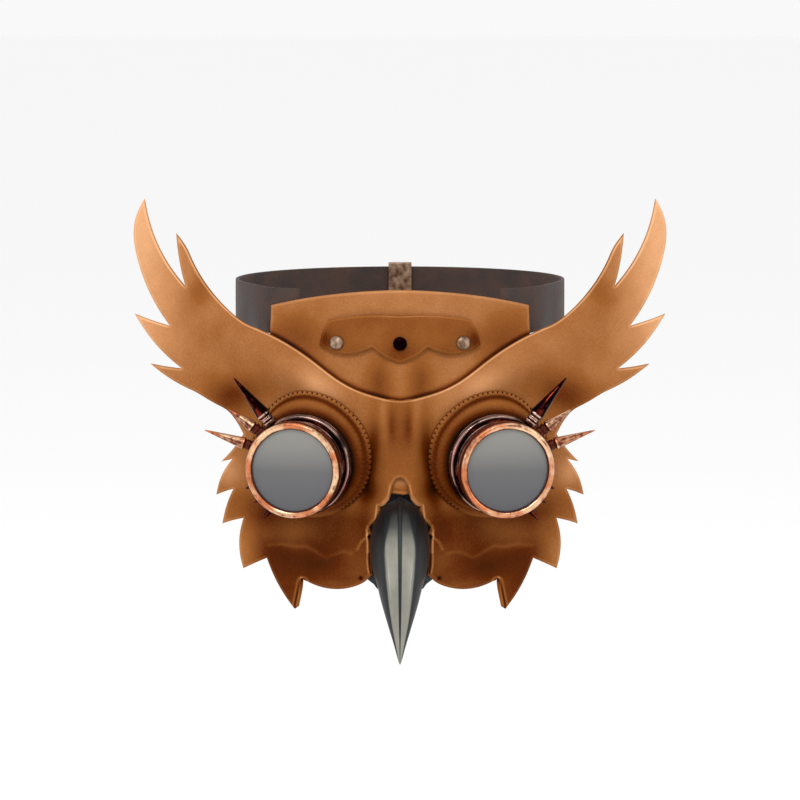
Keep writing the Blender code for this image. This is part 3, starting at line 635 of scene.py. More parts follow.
# Crest: a thin three-lobed leather patch, laid on the forehead panel and held by three rivets.
# It is a little darker than what it lies on, partly in its own tone and partly as painted shade, with more
# painted shade at its ends.
CREST_WALL = 0.0020
CREST_DEPTH = FOREHEAD_DEPTH - LAP_GAP - CREST_WALL
CREST_DABS = (
    (-0.22, (0.0435, 0.033), (0.0055, 0.0060), 0),  # ends
    (-0.10, (0.0, 0.026), (0.010, 0.005), 0),  # above its point
    (0.05, (0.018, 0.034), (0.010, 0.006), 0),
)


def crest_relief(x, z):
    """Its lobes curl a little off the panel under it at their lower edge."""
    return dabbed(x, z, [(0.0004, (0.028, 0.026), (0.012, 0.006), 0)])


def crest_tone_and_painted_shade(x, z):
    return 0.40 + dabbed(x, z, CREST_DABS)


crest = moulded("crest_leather", "crest", CREST_DEPTH, CREST_WALL, crest_relief, crest_tone_and_painted_shade)
crest.data.materials.append(tan.material)
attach(crest, "root")
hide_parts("crest")


# Beak tongue: a short tongue of the same leather behind the arch over the beak. It is glued to the back of
# the face, and a little wrinkled at its foot.
TONGUE_WALL = 0.0018


def tongue_relief(x, z):
    """Two small wrinkles across its foot."""
    return 0.0003 * np.sin(z / 0.00045 + 0.8 * np.sin(x / 0.0018)) * eased(-0.0440, -0.0475, z)


def tongue_tone_and_painted_shade(x, z):
    """Painted shade at its sides and its foot."""
    return 0.60 - 0.18 * eased(0.0030, 0.0065, np.abs(x)) - 0.14 * eased(-0.0445, -0.0490, z)


tongue = moulded(
    "tongue", "beak_tongue", FOREHEAD_DEPTH, TONGUE_WALL, tongue_relief, tongue_tone_and_painted_shade, lambda x, z: True
)
tongue.data.materials.append(tan.material)
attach(tongue, "root")
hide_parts("beak_tongue")


# Eye patches: a leather dome round the foot of each eyepiece. Its hem is whipped to the face with waxed
# thread, which pulls the cut edge into small teeth, and a groove is pressed in along the hem.
EYE_ACROSS = 0.0540
EYE_DOWN = 0.0353
EYE_FORWARD = 0.0045
EYE_YAW = math.radians(13.6)
EYE_PITCH = math.radians(2.5)
SIDES = {"left": -1, "right": 1}
PATCH_OUTWARDS, PATCH_TO_NOSE = 0.0345, 0.0385  # how far a patch reaches from the eyepiece's middle
PATCH_UP, PATCH_DOWN = 0.0400, 0.0314
PATCH_WALL = 0.0018
PATCH_SKIN = 0.0011  # wall that shows at its edges
PATCH_HEM = 0.0032
DOME_STEPS = 12
SKIVED_EDGE = 0.0015  # height of the thinned edge over the face
PATCH_ROUND = 324  # points round the patch
STITCHES = 81
GLUED_FROM = -0.80  # sine of the angle below which the hem is glued down, with no stitches
STITCH_RADIUS = 0.0005
SEAT_RADIUS = 0.0271
SEAT_GAP = 0.0003
BORE_RADIUS = 0.0215


def eye_frame(side):
    """Place of an eyepiece, 1 right and -1 left: X runs outwards and Z forward along its axis."""
    level = math.cos(EYE_PITCH)
    forward = Vector((side * math.sin(EYE_YAW) * level, -math.cos(EYE_YAW) * level, -math.sin(EYE_PITCH)))
    outwards = Vector((side * math.cos(EYE_YAW), math.sin(EYE_YAW), 0))
    turned = Matrix((outwards, forward.cross(outwards), forward)).transposed().to_4x4()
    return Matrix.Translation((side * EYE_ACROSS, -EYE_FORWARD, -EYE_DOWN)) @ turned


def on_face(radius, angle):
    """Height of the face's outer side in the right eyepiece's frame."""
    place = eye_frame(1)
    height = 0.0
    for _ in range(12):
        point = place @ Vector((radius * math.cos(angle), radius * math.sin(angle), height))
        height -= float(form(point.x, point.z)) - point.y
    return height


def ring_by_ring(name, rings):
    """A piece drawn up ring by ring: each ring is extruded from the last one and set in its place."""
    bpy.ops.object.select_all(action="DESELECT")
    bpy.ops.mesh.primitive_circle_add(vertices=len(rings[0]), radius=0.01)
    piece = bpy.context.object
    piece.name = name
    bpy.ops.object.mode_set(mode="EDIT")
    bpy.ops.mesh.select_mode(type="VERT")
    cage = bmesh.from_edit_mesh(piece.data)
    ring = list(cage.verts)
    for point, place in zip(ring, rings[0]):
        point.co = place
    for places in rings[1:]:
        bpy.ops.mesh.select_all(action="DESELECT")
        for point in ring:
            point.select = True
        cage.select_flush_mode()
        bpy.ops.mesh.extrude_edges_move()
        cage = bmesh.from_edit_mesh(piece.data)
        fresh = {point for point in cage.verts if point.select}
        ring = [next(e.other_vert(p) for e in p.link_edges if e.other_vert(p) in fresh) for p in ring]
        for point, place in zip(ring, places):
            point.co = place
    bmesh.update_edit_mesh(piece.data)
    bpy.ops.mesh.select_all(action="SELECT")
    bpy.ops.mesh.remove_doubles(threshold=2e-6)
    bpy.ops.mesh.normals_make_consistent(inside=False)
    bpy.ops.object.mode_set(mode="OBJECT")
    return piece


def patch_section(angle, share_of_stitch):
    """(radius, height, tone) from the patch's cut edge in to its seat under the eyepiece, the tone holding
    painted light and shade.
    """
    upper = float(eased(-0.1, 0.7, math.sin(angle)))
    under = float(eased(-0.62, -0.82, math.sin(angle)))
    nose_side = float(eased(0.2, 0.9, -math.cos(angle)))
    level = PATCH_OUTWARDS if math.cos(angle) > 0 else PATCH_TO_NOSE
    upright = PATCH_UP if math.sin(angle) > 0 else PATCH_DOWN
    edge = 1 / math.hypot(math.cos(angle) / level, math.sin(angle) / upright)
    tooth = (0.00014 + 0.00034 * (1 - upper)) * (1 - under)
    edge += tooth * math.cos(2 * math.pi * share_of_stitch)
    foot = edge - PATCH_HEM
    at_edge = on_face(edge, angle) + SKIVED_EDGE
    at_foot = on_face(foot, angle) + LAP_GAP + PATCH_WALL
    rise = -SEAT_GAP - at_foot
    width = foot - SEAT_RADIUS
    # Painted light on the hem: lighter on its upper side and darker towards the nose below, a dark painted
    # shadow at its cut edge and painted shade in the groove inside it.
    hem_tone_and_shade = 0.40 + 0.13 * upper - 0.16 * nose_side * (1 - upper)
    groove = 0.25 + 0.75 * upper * (1 - 0.5 * nose_side)
    section = [
        (edge + 0.0001, at_edge - 0.0008, hem_tone_and_shade - 0.28 * (1 - under)),
        (edge - 0.0002, at_edge - 0.0003, hem_tone_and_shade - 0.12 * (1 - under)),
        (edge - 0.0008, at_edge - 0.0001, hem_tone_and_shade),
        (edge - 0.0015, at_edge + 0.2 * (at_foot - at_edge), hem_tone_and_shade),
        (edge - 0.0022, 0.5 * (at_edge + at_foot) - 0.0002 * groove, hem_tone_and_shade - 0.10 * groove),
        (edge - 0.0028, at_foot - 0.0005 * groove, hem_tone_and_shade - 0.36 * groove),
    ]
    start = Vector((foot, at_foot - 0.0004 * groove))
    end = Vector((SEAT_RADIUS, -SEAT_GAP))
    first = start + Vector((-0.22 * width, 0.34 * rise + 0.0012 + 0.0008 * groove))
    second = end + Vector((0.60 * width, 0.0))
    for step in range(1, DOME_STEPS + 1):
        t = step / DOME_STEPS
        point = (1 - t) ** 3 * start + 3 * t * (1 - t) ** 2 * first
        point += 3 * t * t * (1 - t) * second + t**3 * end
        # On the dome, a painted highlight on its upper shoulder and painted shade towards the nose, by the
        # groove and under the eyepiece.
        tone = 0.33 + 0.14 * bell(t - 0.42, 0.22) * (0.2 + 0.8 * upper) - 0.10 * nose_side
        tone -= 0.26 * eased(0.62, 1.0, t) + 0.22 * eased(0.30, 0.0, t) * groove
        section.append((point.x, point.y, float(tone)))
    # Painted shade on the seat under the eyepiece.
    section.append((BORE_RADIUS + SEAT_GAP, -SEAT_GAP, 0.02))
    return section


def round_eye(side, radius, angle, height):
    """A point round an eyepiece's axis: the left one is the right one's mirror image."""
    point = eye_frame(1) @ Vector((radius * math.cos(angle), radius * math.sin(angle), height))
    return Vector((side * point.x, point.y, point.z))


turns = [2 * math.pi * step / PATCH_ROUND for step in range(PATCH_ROUND)]
patch_sections = [patch_section(angle, STITCHES * angle / (2 * math.pi)) for angle in turns]

thread = Finish("waxed_thread")
on_thread = thread.place()
twist = thread.cloud(on_thread, 2400.0)
thread.surface(
    Base_Color=thread.shades(twist, (0.3, shade(26, 10, 2)), (0.7, shade(52, 24, 8))),
    Roughness=0.60 + 0.3 * twist,
    Normal=thread.bumped(twist, 0.0001),
)
thread.shader.inputs["Specular IOR Level"].default_value = 0.05

for side_name, side in SIDES.items():
    rings, tones = [], {}
    for step in range(len(patch_sections[0])):
        ring = []
        for angle, section in zip(turns, patch_sections):
            radius, height, tone = section[step]
            ring.append(round_eye(side, radius, angle, height))
            tones[tuple(round(c, 6) for c in ring[-1])] = tone
        rings.append(ring)
    patch = ring_by_ring(f"patch_{side_name}", rings)
    if sum(facet.normal.y for facet in patch.data.polygons) > 0:
        only(patch)
        bpy.ops.object.mode_set(mode="EDIT")
        bpy.ops.mesh.select_all(action="SELECT")
        bpy.ops.mesh.flip_normals()
        bpy.ops.object.mode_set(mode="OBJECT")
    note(patch, "tone", [tones[tuple(round(c, 6) for c in point.co)] for point in patch.data.vertices])
    note(patch, "off_edge", np.ones(len(patch.data.vertices)))
    finish_with(patch, "SOLIDIFY", thickness=PATCH_SKIN, offset=-1.0)
    bpy.ops.object.shade_smooth_by_angle(angle=math.radians(70))
    patch.data.materials.append(tan.material)
    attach(patch, "root")
    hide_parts(f"eye_patch_{side_name}")

    stitches = []
    for stitch in range(STITCHES):
        angle = 2 * math.pi * (stitch + 0.5) / STITCHES
        if math.sin(angle) < GLUED_FROM:
            continue
        edge, height, _ = patch_section(angle, 0.5)[0]
        inner = round_eye(side, edge - 0.0012, angle, height + 0.0010)
        outer = round_eye(side, edge - 0.0002, angle, height + 0.0003)
        bpy.ops.mesh.primitive_uv_sphere_add(segments=8, ring_count=5, radius=STITCH_RADIUS)
        bead = bpy.context.object
        bpy.ops.object.shade_smooth()
        run = outer - inner
        turn = run.to_track_quat("X", "Z").to_matrix().to_4x4()
        stretch = Matrix.Diagonal((0.5 * run.length / STITCH_RADIUS + 0.1, 1, 0.8, 1))
        bead.matrix_world = Matrix.Translation((inner + outer) / 2) @ turn @ stretch
        bpy.ops.object.transform_apply(location=True, rotation=True, scale=True)
        stitches.append(bead)
    only(stitches[0])
    for bead in stitches:
        bead.select_set(True)
    bpy.ops.object.join()
    seam = bpy.context.object
    seam.name = f"patch_stitches_{side_name}"
    seam.data.materials.append(thread.material)
    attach(seam, "root")


# Eyepieces: turned brass barrels, copper plated and then blackened, with a bright copper retaining ring
# screwed on over a smoked glass lens. The finish is rubbed through along the ring. The pale line along each
# turned edge is worn metal and painted highlight, the ring is darkened as painted shade on its inner lip and
# where it turns away, and the lens's colour is a painted reflection.
TURN_SIDES = 128
EDGE_BREAK = 0.00022  # rounding of a turned edge
WEAR_AND_HIGHLIGHT_REACH = 0.00018  # how far from an edge the finish is worn off, the worn line also a painted highlight


def off_edges(profile, radius, height):
    """Distance of each point from the nearest edge of the profile that stands out."""
    nearest = np.full(len(radius), 1.0)
    for before, corner, after in zip(profile, profile[1:], profile[2:]):
        first = np.subtract(corner, before)
        second = np.subtract(after, corner)
        turn = math.atan2(first[0] * second[1] - first[1] * second[0], first @ second)
        if turn > math.radians(20) and corner[0] > 0.001:
            nearest = np.minimum(nearest, np.hypot(radius - corner[0], height - corner[1]))
    return nearest


def turned(name, profile, place, sides=TURN_SIDES, round_edges=EDGE_BREAK, streaks=(0.012, 8.0)):
    """Turns a piece on the lathe from (radius, height) pairs, rounds its edges and sets it in place.

    It keeps its own lathe coordinates, so that its finish can follow the turning: streaks says how fast the
    finish changes round the piece and along it.
    """
    angles = [2 * math.pi * step / sides for step in range(sides)]
    rings = [[Vector((r * math.cos(a), r * math.sin(a), h)) for a in angles] for r, h in profile]
    piece = ring_by_ring(name, rings)
    if round_edges:
        rounding = {"width": round_edges, "segments": 2, "limit_method": "ANGLE"}
        finish_with(piece, "BEVEL", angle_limit=math.radians(28), **rounding)
    local = places_of(piece)
    radius = np.hypot(local[:, 0], local[:, 1])
    spread = np.maximum(radius, 1e-6)
    around = np.column_stack((local[:, 0] / spread, local[:, 1] / spread)) * streaks[0]
    along = (radius + local[:, 2]) * streaks[1]
    lathe = piece.data.attributes.new("lathe", "FLOAT_VECTOR", "POINT")
    lathe.data.foreach_set("vector", np.column_stack((around, along)).astype(np.float32).ravel())
    note(piece, "radius", radius)
    note(piece, "height", local[:, 2])
    note(piece, "wear", bell(off_edges(profile, radius, local[:, 2]), WEAR_AND_HIGHLIGHT_REACH))
    piece.matrix_world = place
    only(piece)
    bpy.ops.object.transform_apply(location=True, rotation=True, scale=True)
    bpy.ops.object.mode_set(mode="EDIT")
    bpy.ops.mesh.select_all(action="SELECT")
    bpy.ops.mesh.normals_make_consistent(inside=False)
    bpy.ops.object.mode_set(mode="OBJECT")
    bpy.ops.object.shade_smooth_by_angle(angle=math.radians(40))
    return piece


black = Finish("blackened_copper_turned")
rubbed = black.cloud(black.kept("lathe", "Vector"), 130.0, 5.0)
worn = black.cloud(black.place(), 420.0, 4.0)
through = (0.75 * rubbed + 0.25 * worn).between(0.53, 0.70)
# The black is worn through to pale copper along the turned edges, which also stands as a painted highlight
# there.
on_edge = black.kept("wear") * (0.10 + 0.90 * rubbed.between(0.42, 0.56))
blackened = black.mixed(through, shade(12, 2, 3), shade(134, 46, 30))
black.surface(
    Base_Color=black.mixed(on_edge, blackened, shade(226, 186, 170)),
    Roughness=0.13 + 0.20 * worn,
    Normal=black.bumped(rubbed, 0.00006),
)
black.shader.inputs["Metallic"].default_value = 1.0


copper = Finish("rubbed_copper_turned")
streak = copper.cloud(copper.kept("lathe", "Vector"), 150.0, 5.0)
mottle = copper.cloud(copper.place(), 420.0, 3.0)
radius = copper.kept("radius")
# Random streaks and tarnish, and painted shade: on the ring's inner lip beside the lens and wherever a
# surface turns away from the view. The ring is darker on its outer side as well, and the spikes' collars are
# dark in their own colour.
inner_lip = radius.between(0.0222, 0.0226) * (1 - radius.between(0.0234, 0.0239))
outer_rim = radius.between(0.0265, 0.0270)
turned_away_shade = copper.node("ShaderNodeLayerWeight", {}, {"Blend": 0.5}, "Facing").between(0.50, 0.90)
collar = 1 - copper.kept("height").between(0.0056, 0.0059)
soiling_and_shade = 0.62 * streak + 0.38 * mottle + 0.22 * turned_away_shade
soiling_and_shade = soiling_and_shade + 0.24 * inner_lip + 0.18 * outer_rim + 0.5 * collar
grime_and_shade = (soiling_and_shade - 0.08 * copper.kept("wear")).between(0.41, 0.64)
warm = copper.cloud(copper.place(), 60.0, 2.0)
bright = copper.mixed(warm.between(0.40, 0.62), shade(204, 122, 80), shade(240, 196, 156))
copper.surface(
    Base_Color=copper.mixed(grime_and_shade, bright, shade(92, 36, 20)),
    Metallic=0.95 - 0.20 * grime_and_shade,
    Roughness=0.24 + 0.22 * grime_and_shade,
    Normal=copper.bumped(streak, 0.00008),
)

glass = Finish("smoked_lens_glass")
place_on_lens = glass.place()
height_on_lens = glass.node("ShaderNodeSeparateXYZ", {}, {"Vector": place_on_lens}, "Z")
# The lens's colour is a painted reflection of the studio, lighter at the top and darker below.
painted_reflection = ((0.0, shade(78, 78, 82)), (0.5, shade(92, 91, 92)), (1.0, shade(132, 131, 125)))
glass.surface(
    Base_Color=glass.shades(height_on_lens.between(-0.062, -0.012), *painted_reflection),
    Roughness=0.16 + 0.10 * glass.cloud(place_on_lens, 35.0, 1.0),
)
glass.shader.inputs["Specular IOR Level"].default_value = 0.35
glass.shader.inputs["Coat Weight"].default_value = 0.3
glass.shader.inputs["Coat Roughness"].default_value = 0.05

# (radius, height) pairs in metres, from the eyepiece's seat forward
BARREL = (
    (0.0215, 0.0000),
    (0.0275, 0.0000),
    (0.0283, 0.0007),
    (0.0283, 0.0030),
    (0.0278, 0.0034),
    (0.0283, 0.0038),
    (0.0283, 0.0056),
    (0.0276, 0.0066),
    (0.0266, 0.0070),
    (0.0252, 0.0072),
    (0.0247, 0.0080),
    (0.0247, 0.0088),
    (0.0256, 0.0094),
    (0.0256, 0.0108),
    (0.0249, 0.0113),
    (0.0249, 0.0128),
    (0.0256, 0.0134),
    (0.0256, 0.0168),
    (0.0250, 0.0172),
    (0.0246, 0.0172),
    (0.0246, 0.0203),
    (0.0215, 0.0203),
    (0.0215, 0.0000),
)
RING = (
    (0.0253, 0.0175),
    (0.0266, 0.0175),
    (0.0270, 0.0179),
    (0.0270, 0.0196),
    (0.0266, 0.0200),
    (0.0270, 0.0204),
    (0.0270, 0.0240),
    (0.0267, 0.0250),
    (0.0261, 0.0257),
    (0.0252, 0.0260),
    (0.0243, 0.0259),
    (0.0235, 0.0254),
    (0.0231, 0.0247),
    (0.0230, 0.0240),
    (0.0253, 0.0239),
    (0.0253, 0.0175),
)
LENS = (
    (0.0000, 0.0206),
    (0.0250, 0.0206),
    (0.0250, 0.0233),
    (0.0236, 0.02365),
    (0.0200, 0.0239),
    (0.0150, 0.0241),
    (0.0100, 0.0243),
    (0.0050, 0.0244),
    (0.0000, 0.0244),
)

EYEPIECE = (
    ("barrel", BARREL, black, "dark_copper", EDGE_BREAK),
    ("ring", RING, copper, "antique_copper", EDGE_BREAK),
    ("lens", LENS, glass, "lens_glass", 0),
)
for side_name, side in SIDES.items():
    for part, profile, finish, slot, round_edges in EYEPIECE:
        piece = turned(f"{part}_{side_name}", profile, eye_frame(side), round_edges=round_edges)
        piece.data.materials.append(finish.material)
        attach(piece, "root")
        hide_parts(f"eye_{part}_{side_name}")


# Spikes and studs: turned cones on ringed collars, screwed into each eyepiece's base. The upper one is
# blackened, with pale edges of worn metal and painted highlight, and the two under it are rubbed bright with
# brown left in places and painted shade where they turn away from the view.
BASE_RADIUS = 0.0283
SPIKE_TILT = math.radians(9.0)
COLLAR = 0.0058
CONE_TURNING = (40, 0.0001, (0.010, 0.5))  # sides, rounding of the edges, streaks round and along
# name, bearing over the outward direction in degrees, reach, foot radius, finish, slot
SPIKES = (
    ("spike_upper", 53.0, 0.0325, 0.0043, black, "dark_copper"),
    ("spike_middle", 37.0, 0.0225, 0.0036, copper, "antique_copper"),
    ("spike_lower", 19.0, 0.0290, 0.0035, copper, "antique_copper"),
)
STUDS = (
    ("stud_upper", -24.0, 0.0068, 0.0027, black, "dark_copper"),
    ("stud_middle", -39.0, 0.0068, 0.0027, black, "dark_copper"),
    ("stud_lower", -54.0, 0.0105, 0.0030, black, "dark_copper"),
)


def on_base(side, bearing, foot):
    """Place of a spike with its foot on the side of the eyepiece's base."""
    turn = side * math.radians(bearing)
    outwards = Vector((math.cos(turn), math.sin(turn), 0))
    level = max(0.0035, foot + 2 * SEAT_GAP)
    start = (BASE_RADIUS + SEAT_GAP + foot * math.sin(SPIKE_TILT)) * outwards + Vector((0, 0, level))
    along = math.cos(SPIKE_TILT) * outwards + Vector((0, 0, math.sin(SPIKE_TILT)))
    return eye_frame(side) @ Matrix.Translation(start) @ along.to_track_quat("Z", "Y").to_matrix().to_4x4()


def spike_profile(reach, foot):
    """Base disc, grooved collar, flared foot and a long cone with a blunted tip."""
    return (
        (0.0, 0.0),
        (0.92 * foot, 0.0),
        (0.95 * foot, 0.10 * COLLAR),
        (0.95 * foot, 0.24 * COLLAR),
        (0.72 * foot, 0.32 * COLLAR),
        (0.72 * foot, 0.38 * COLLAR),
        (0.85 * foot, 0.44 * COLLAR),
        (0.85 * foot, 0.56 * COLLAR),
        (0.78 * foot, 0.60 * COLLAR),
        (0.85 * foot, 0.64 * COLLAR),
        (0.85 * foot, 0.74 * COLLAR),
        (0.70 * foot, 0.80 * COLLAR),
        (0.74 * foot, 0.86 * COLLAR),
        (foot, 1.00 * COLLAR),
        (foot, 1.10 * COLLAR),
        (0.93 * foot, 1.20 * COLLAR),
        (0.10 * foot, 0.985 * reach),
        (0.05 * foot, 0.997 * reach),
        (0.0, reach),
    )


def stud_profile(reach, foot):
    """A round foot and a short cone."""
    return (
        (0.0, 0.0),
        (0.96 * foot, 0.0),
        (foot, 0.06 * reach),
        (foot, 0.15 * reach),
        (0.90 * foot, 0.22 * reach),
        (0.12 * foot, 0.97 * reach),
        (0.05 * foot, 0.995 * reach),
        (0.0, reach),
    )


for side_name, side in SIDES.items():
    for pieces, profile in ((SPIKES, spike_profile), (STUDS, stud_profile)):
        for name, bearing, reach, foot, finish, slot in pieces:
            seat = on_base(side, bearing, foot)
            cone = turned(f"{name}_{side_name}_turned", profile(reach, foot), seat, *CONE_TURNING)
            cone.data.materials.append(finish.material)
            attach(cone, "root")
            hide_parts(f"{name}_{side_name}")


# Crest rivets: small turned heads with a low dome, which hold the crest to the forehead panel. The outer two
# are plated in antique silver, and the middle one is blackened.
silver = Finish("antique_silver_domed")
tarnish = silver.cloud(silver.place(), 300.0, 2.0)
silver.surface(
    Base_Color=silver.shades(tarnish, (0.30, shade(88, 62, 46)), (0.70, shade(172, 146, 124))),
    Roughness=0.24 + 0.30 * tarnish,
    Normal=silver.bumped(tarnish, 0.00005),
)
silver.shader.inputs["Metallic"].default_value = 1.0
RIVET_RADIUS = 0.0040
RIVET_HEIGHT = 0.0024
RIVET_RIM = 0.0006  # height of its rim, under the dome
RIVET_UP = 0.286 * HORN_HEIGHT
RIVET_TURNING = (48, 0, (0.001, 0.3))
RIVETS = (
    ("left", -0.233 * HALF_WIDTH, silver, "antique_silver"),
    ("middle", 0.0, black, "dark_copper"),
    ("right", 0.233 * HALF_WIDTH, silver, "antique_silver"),
)
rivet_profile = [(0.0, 0.0), (0.94 * RIVET_RADIUS, 0.0), (RIVET_RADIUS, 0.0003), (RIVET_RADIUS, RIVET_RIM)]
for step in range(1, 9):
    lift = math.pi / 2 * step / 8
    dome = RIVET_RIM + (RIVET_HEIGHT - RIVET_RIM) * math.sin(lift)
    rivet_profile.append((RIVET_RADIUS * math.cos(lift), dome))
rivet_profile[-1] = (0.0, RIVET_HEIGHT)

for side_name, x, finish, slot in RIVETS:
    slope_x, slope_z = slopes(x, RIVET_UP)
    outwards = Vector((slope_x, -1, slope_z)).normalized()
    foot = Vector((x, form(x, RIVET_UP), RIVET_UP)) - (CREST_DEPTH - SEAT_GAP) * outwards
    seat = Matrix.Translation(foot) @ outwards.to_track_quat("Z", "Y").to_matrix().to_4x4()
    head = turned(f"rivet_{side_name}", rivet_profile, seat, *RIVET_TURNING)
    head.data.materials.append(finish.material)
    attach(head, "root")
    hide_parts(f"crest_rivet_{side_name}")


# Beak: cast in metal and filed to four long facets with a narrow keel between the front two, hollow at its
# root. The front facets are smoother than the sides, and a painted reflection makes them light, while the
# sides and the root under the leather are painted dark as shade.
BEAK_LENGTH = 0.0877
BEAK_REACH = 0.0482
BEAK_HALF_WIDTH = 0.0165
BEAK_WALL = 0.0016
BEAK_TOP_DROP = 0.0518
BEAK_ROOT_FORWARD = 0.0158
# keel forward and down, under side forward and down, width, as shares of reach, length and half width
BEAK_STATIONS = (
    (0.000, 0.000, 0.000, 0.525, 1.000),
    (0.210, 0.006, 0.120, 0.555, 1.000),
    (0.440, 0.060, 0.250, 0.590, 0.970),
    (0.620, 0.140, 0.375, 0.618, 0.880),
    (0.755, 0.245, 0.485, 0.652, 0.775),
    (0.860, 0.360, 0.585, 0.692, 0.690),
    (0.935, 0.485, 0.675, 0.738, 0.580),
    (0.980, 0.610, 0.760, 0.795, 0.445),
    (1.000, 0.735, 0.840, 0.857, 0.305),
    (0.998, 0.860, 0.905, 0.928, 0.155),
)
# share of the length and half width there, which the facets' edges follow
BEAK_WIDTHS = (
    (0.00, 0.0152),
    (0.25, 0.0160),
    (0.45, 0.0140),
    (0.62, 0.0110),
    (0.75, 0.0080),
    (0.88, 0.0040),
    (1.00, 0.0006),
)
BEAK_TIP = (0.966, 1.026)  # a little past the tip, because smoothing draws it in
# share of the way from keel to under side, share of the half width, and whether a filed edge runs there
BEAK_SECTION = (
    (0.000, 0.045, True),
    (0.014, 0.085, True),
    (0.055, 0.320, False),
    (0.115, 0.570, True),
    (0.210, 0.740, False),
    (0.360, 0.900, False),
    (0.600, 1.000, False),
    (0.820, 0.860, False),
    (0.960, 0.460, False),
)
HOLLOW_STATIONS = 6
FILED_SHARP = 0.85
SMOOTHING_LOSS = 1.06  # the smoothed skin runs inside its section, so the section is drawn this much wider


def in_beak(forward, down):
    """A point of the beak's middle plane, from shares of its reach and its length."""
    return Vector((0, -BEAK_ROOT_FORWARD - forward * BEAK_REACH, -BEAK_TOP_DROP - down * BEAK_LENGTH))


def beak_ring(station, inset):
    """One ring of the beak, from the keel round and back, drawn in by inset."""
    keel, under = in_beak(*station[:2]), in_beak(*station[2:4])
    inwards = (under - keel).normalized()
    keel = keel + 1.5 * inset * inwards
    under = under - inset * inwards
    half_width = station[4] * BEAK_HALF_WIDTH * SMOOTHING_LOSS - inset
    half = [keel.lerp(under, along) + Vector((out * half_width, 0, 0)) for along, out, _ in BEAK_SECTION]
    mirrored = [Vector((-point.x, point.y, point.z)) for point in reversed(half)]
    return half + [under] + mirrored


hollow = [beak_ring(station, BEAK_WALL) for station in BEAK_STATIONS[:HOLLOW_STATIONS]][::-1]
end = sum(hollow[0], Vector()) / len(hollow[0])
skin = [beak_ring(station, 0) for station in BEAK_STATIONS]
points_round = len(skin[0])
tip = in_beak(*BEAK_TIP)
beak = ring_by_ring("beak_cast", [[end] * points_round] + hollow + skin + [[tip] * points_round])
filed_columns = [column for column, (_, _, is_filed) in enumerate(BEAK_SECTION) if is_filed]
filed_columns += [points_round - 1 - column for column in filed_columns]
filed = {tuple(round(c, 6) for c in ring[column]) for ring in skin for column in filed_columns}
only(beak)
bpy.ops.object.mode_set(mode="EDIT")
bpy.ops.mesh.select_mode(type="EDGE")
bpy.ops.mesh.select_all(action="DESELECT")
cage = bmesh.from_edit_mesh(beak.data)
for edge in cage.edges:
    ends = [tuple(round(c, 6) for c in point.co) for point in edge.verts]
    lengthwise = abs(abs(edge.verts[0].co.x) - abs(edge.verts[1].co.x)) < 0.6 * edge.calc_length()
    same_side = edge.verts[0].co.x * edge.verts[1].co.x > 0
    edge.select = filed.issuperset(ends) and lengthwise and same_side
bmesh.update_edit_mesh(beak.data)
bpy.ops.transform.edge_crease(value=FILED_SHARP)
bpy.ops.object.mode_set(mode="OBJECT")
finish_with(beak, "SUBSURF", levels=3, render_levels=3)
bpy.ops.object.shade_smooth_by_angle(angle=math.radians(35))
x, y, z = places_of(beak).T
share_down = (-BEAK_TOP_DROP - z) / BEAK_LENGTH
note(beak, "across", np.abs(x) / np.interp(share_down, *zip(*BEAK_WIDTHS)))
note(beak, "down", share_down)

gunmetal = Finish("filed_gunmetal")
on_metal = gunmetal.place()
across = gunmetal.kept("across")
down = gunmetal.kept("down")
filing = gunmetal.node("ShaderNodeMapping", {}, {"Vector": on_metal, "Scale": (1.0, 1.0, 0.12)})
scratch = gunmetal.cloud(filing, 1400.0, 3.0)
stain = gunmetal.cloud(on_metal, 130.0, 3.0)
facet_edge = 0.26 + 0.30 * down.between(0.0, 0.34)
front_facet = (1 - across.between(facet_edge - 0.05, facet_edge + 0.05)) * across.between(0.045, 0.095)
# Painted light: the front facets are made light as a painted reflection, the sides dark, and the root under
# the leather gets painted shade.
lit = down.between(0.02, 0.30)
facet_reflection_and_shade = front_facet * lit * (0.90 + 0.30 * (stain - 0.5)) + 0.10 * (scratch - 0.5) + 0.05
facet_reflection_shades = ((0.0, shade(38, 41, 44)), (0.5, shade(86, 87, 82)), (1.0, shade(147, 145, 134)))
gunmetal.surface(
    Base_Color=gunmetal.shades(facet_reflection_and_shade, *facet_reflection_shades),
    Roughness=0.34 + 0.14 * (scratch - 0.5) + 0.10 * (1 - front_facet),
    Normal=gunmetal.bumped(scratch, 0.00006),
)
gunmetal.shader.inputs["Metallic"].default_value = 0.85
beak.data.materials.append(gunmetal.material)
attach(beak, "root")
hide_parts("beak")


# Beak plate: a thin dark metal plate riveted behind the opening, which carries the beak. Its corners show
# under the beak.
plate = merged_copy("plate", "beak_plate")
bpy.ops.object.mode_set(mode="OBJECT")
finish_with(plate, "BEVEL", width=0.0003, segments=2, limit_method="ANGLE", angle_limit=math.radians(50))
bpy.ops.object.shade_smooth_by_angle(angle=math.radians(45))
dull = Finish("dull_plate")
dullness = dull.cloud(dull.place(), 300.0, 4.0)
dull.surface(
    Base_Color=dull.shades(dullness, (0.3, shade(34, 35, 38)), (0.7, shade(66, 67, 70))),
    Roughness=0.42 + 0.25 * dullness,
    Normal=dull.bumped(dullness, 0.00008),
)
dull.shader.inputs["Metallic"].default_value = 0.8
plate.data.materials.append(dull.material)
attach(plate, "root")
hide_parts("beak_plate")


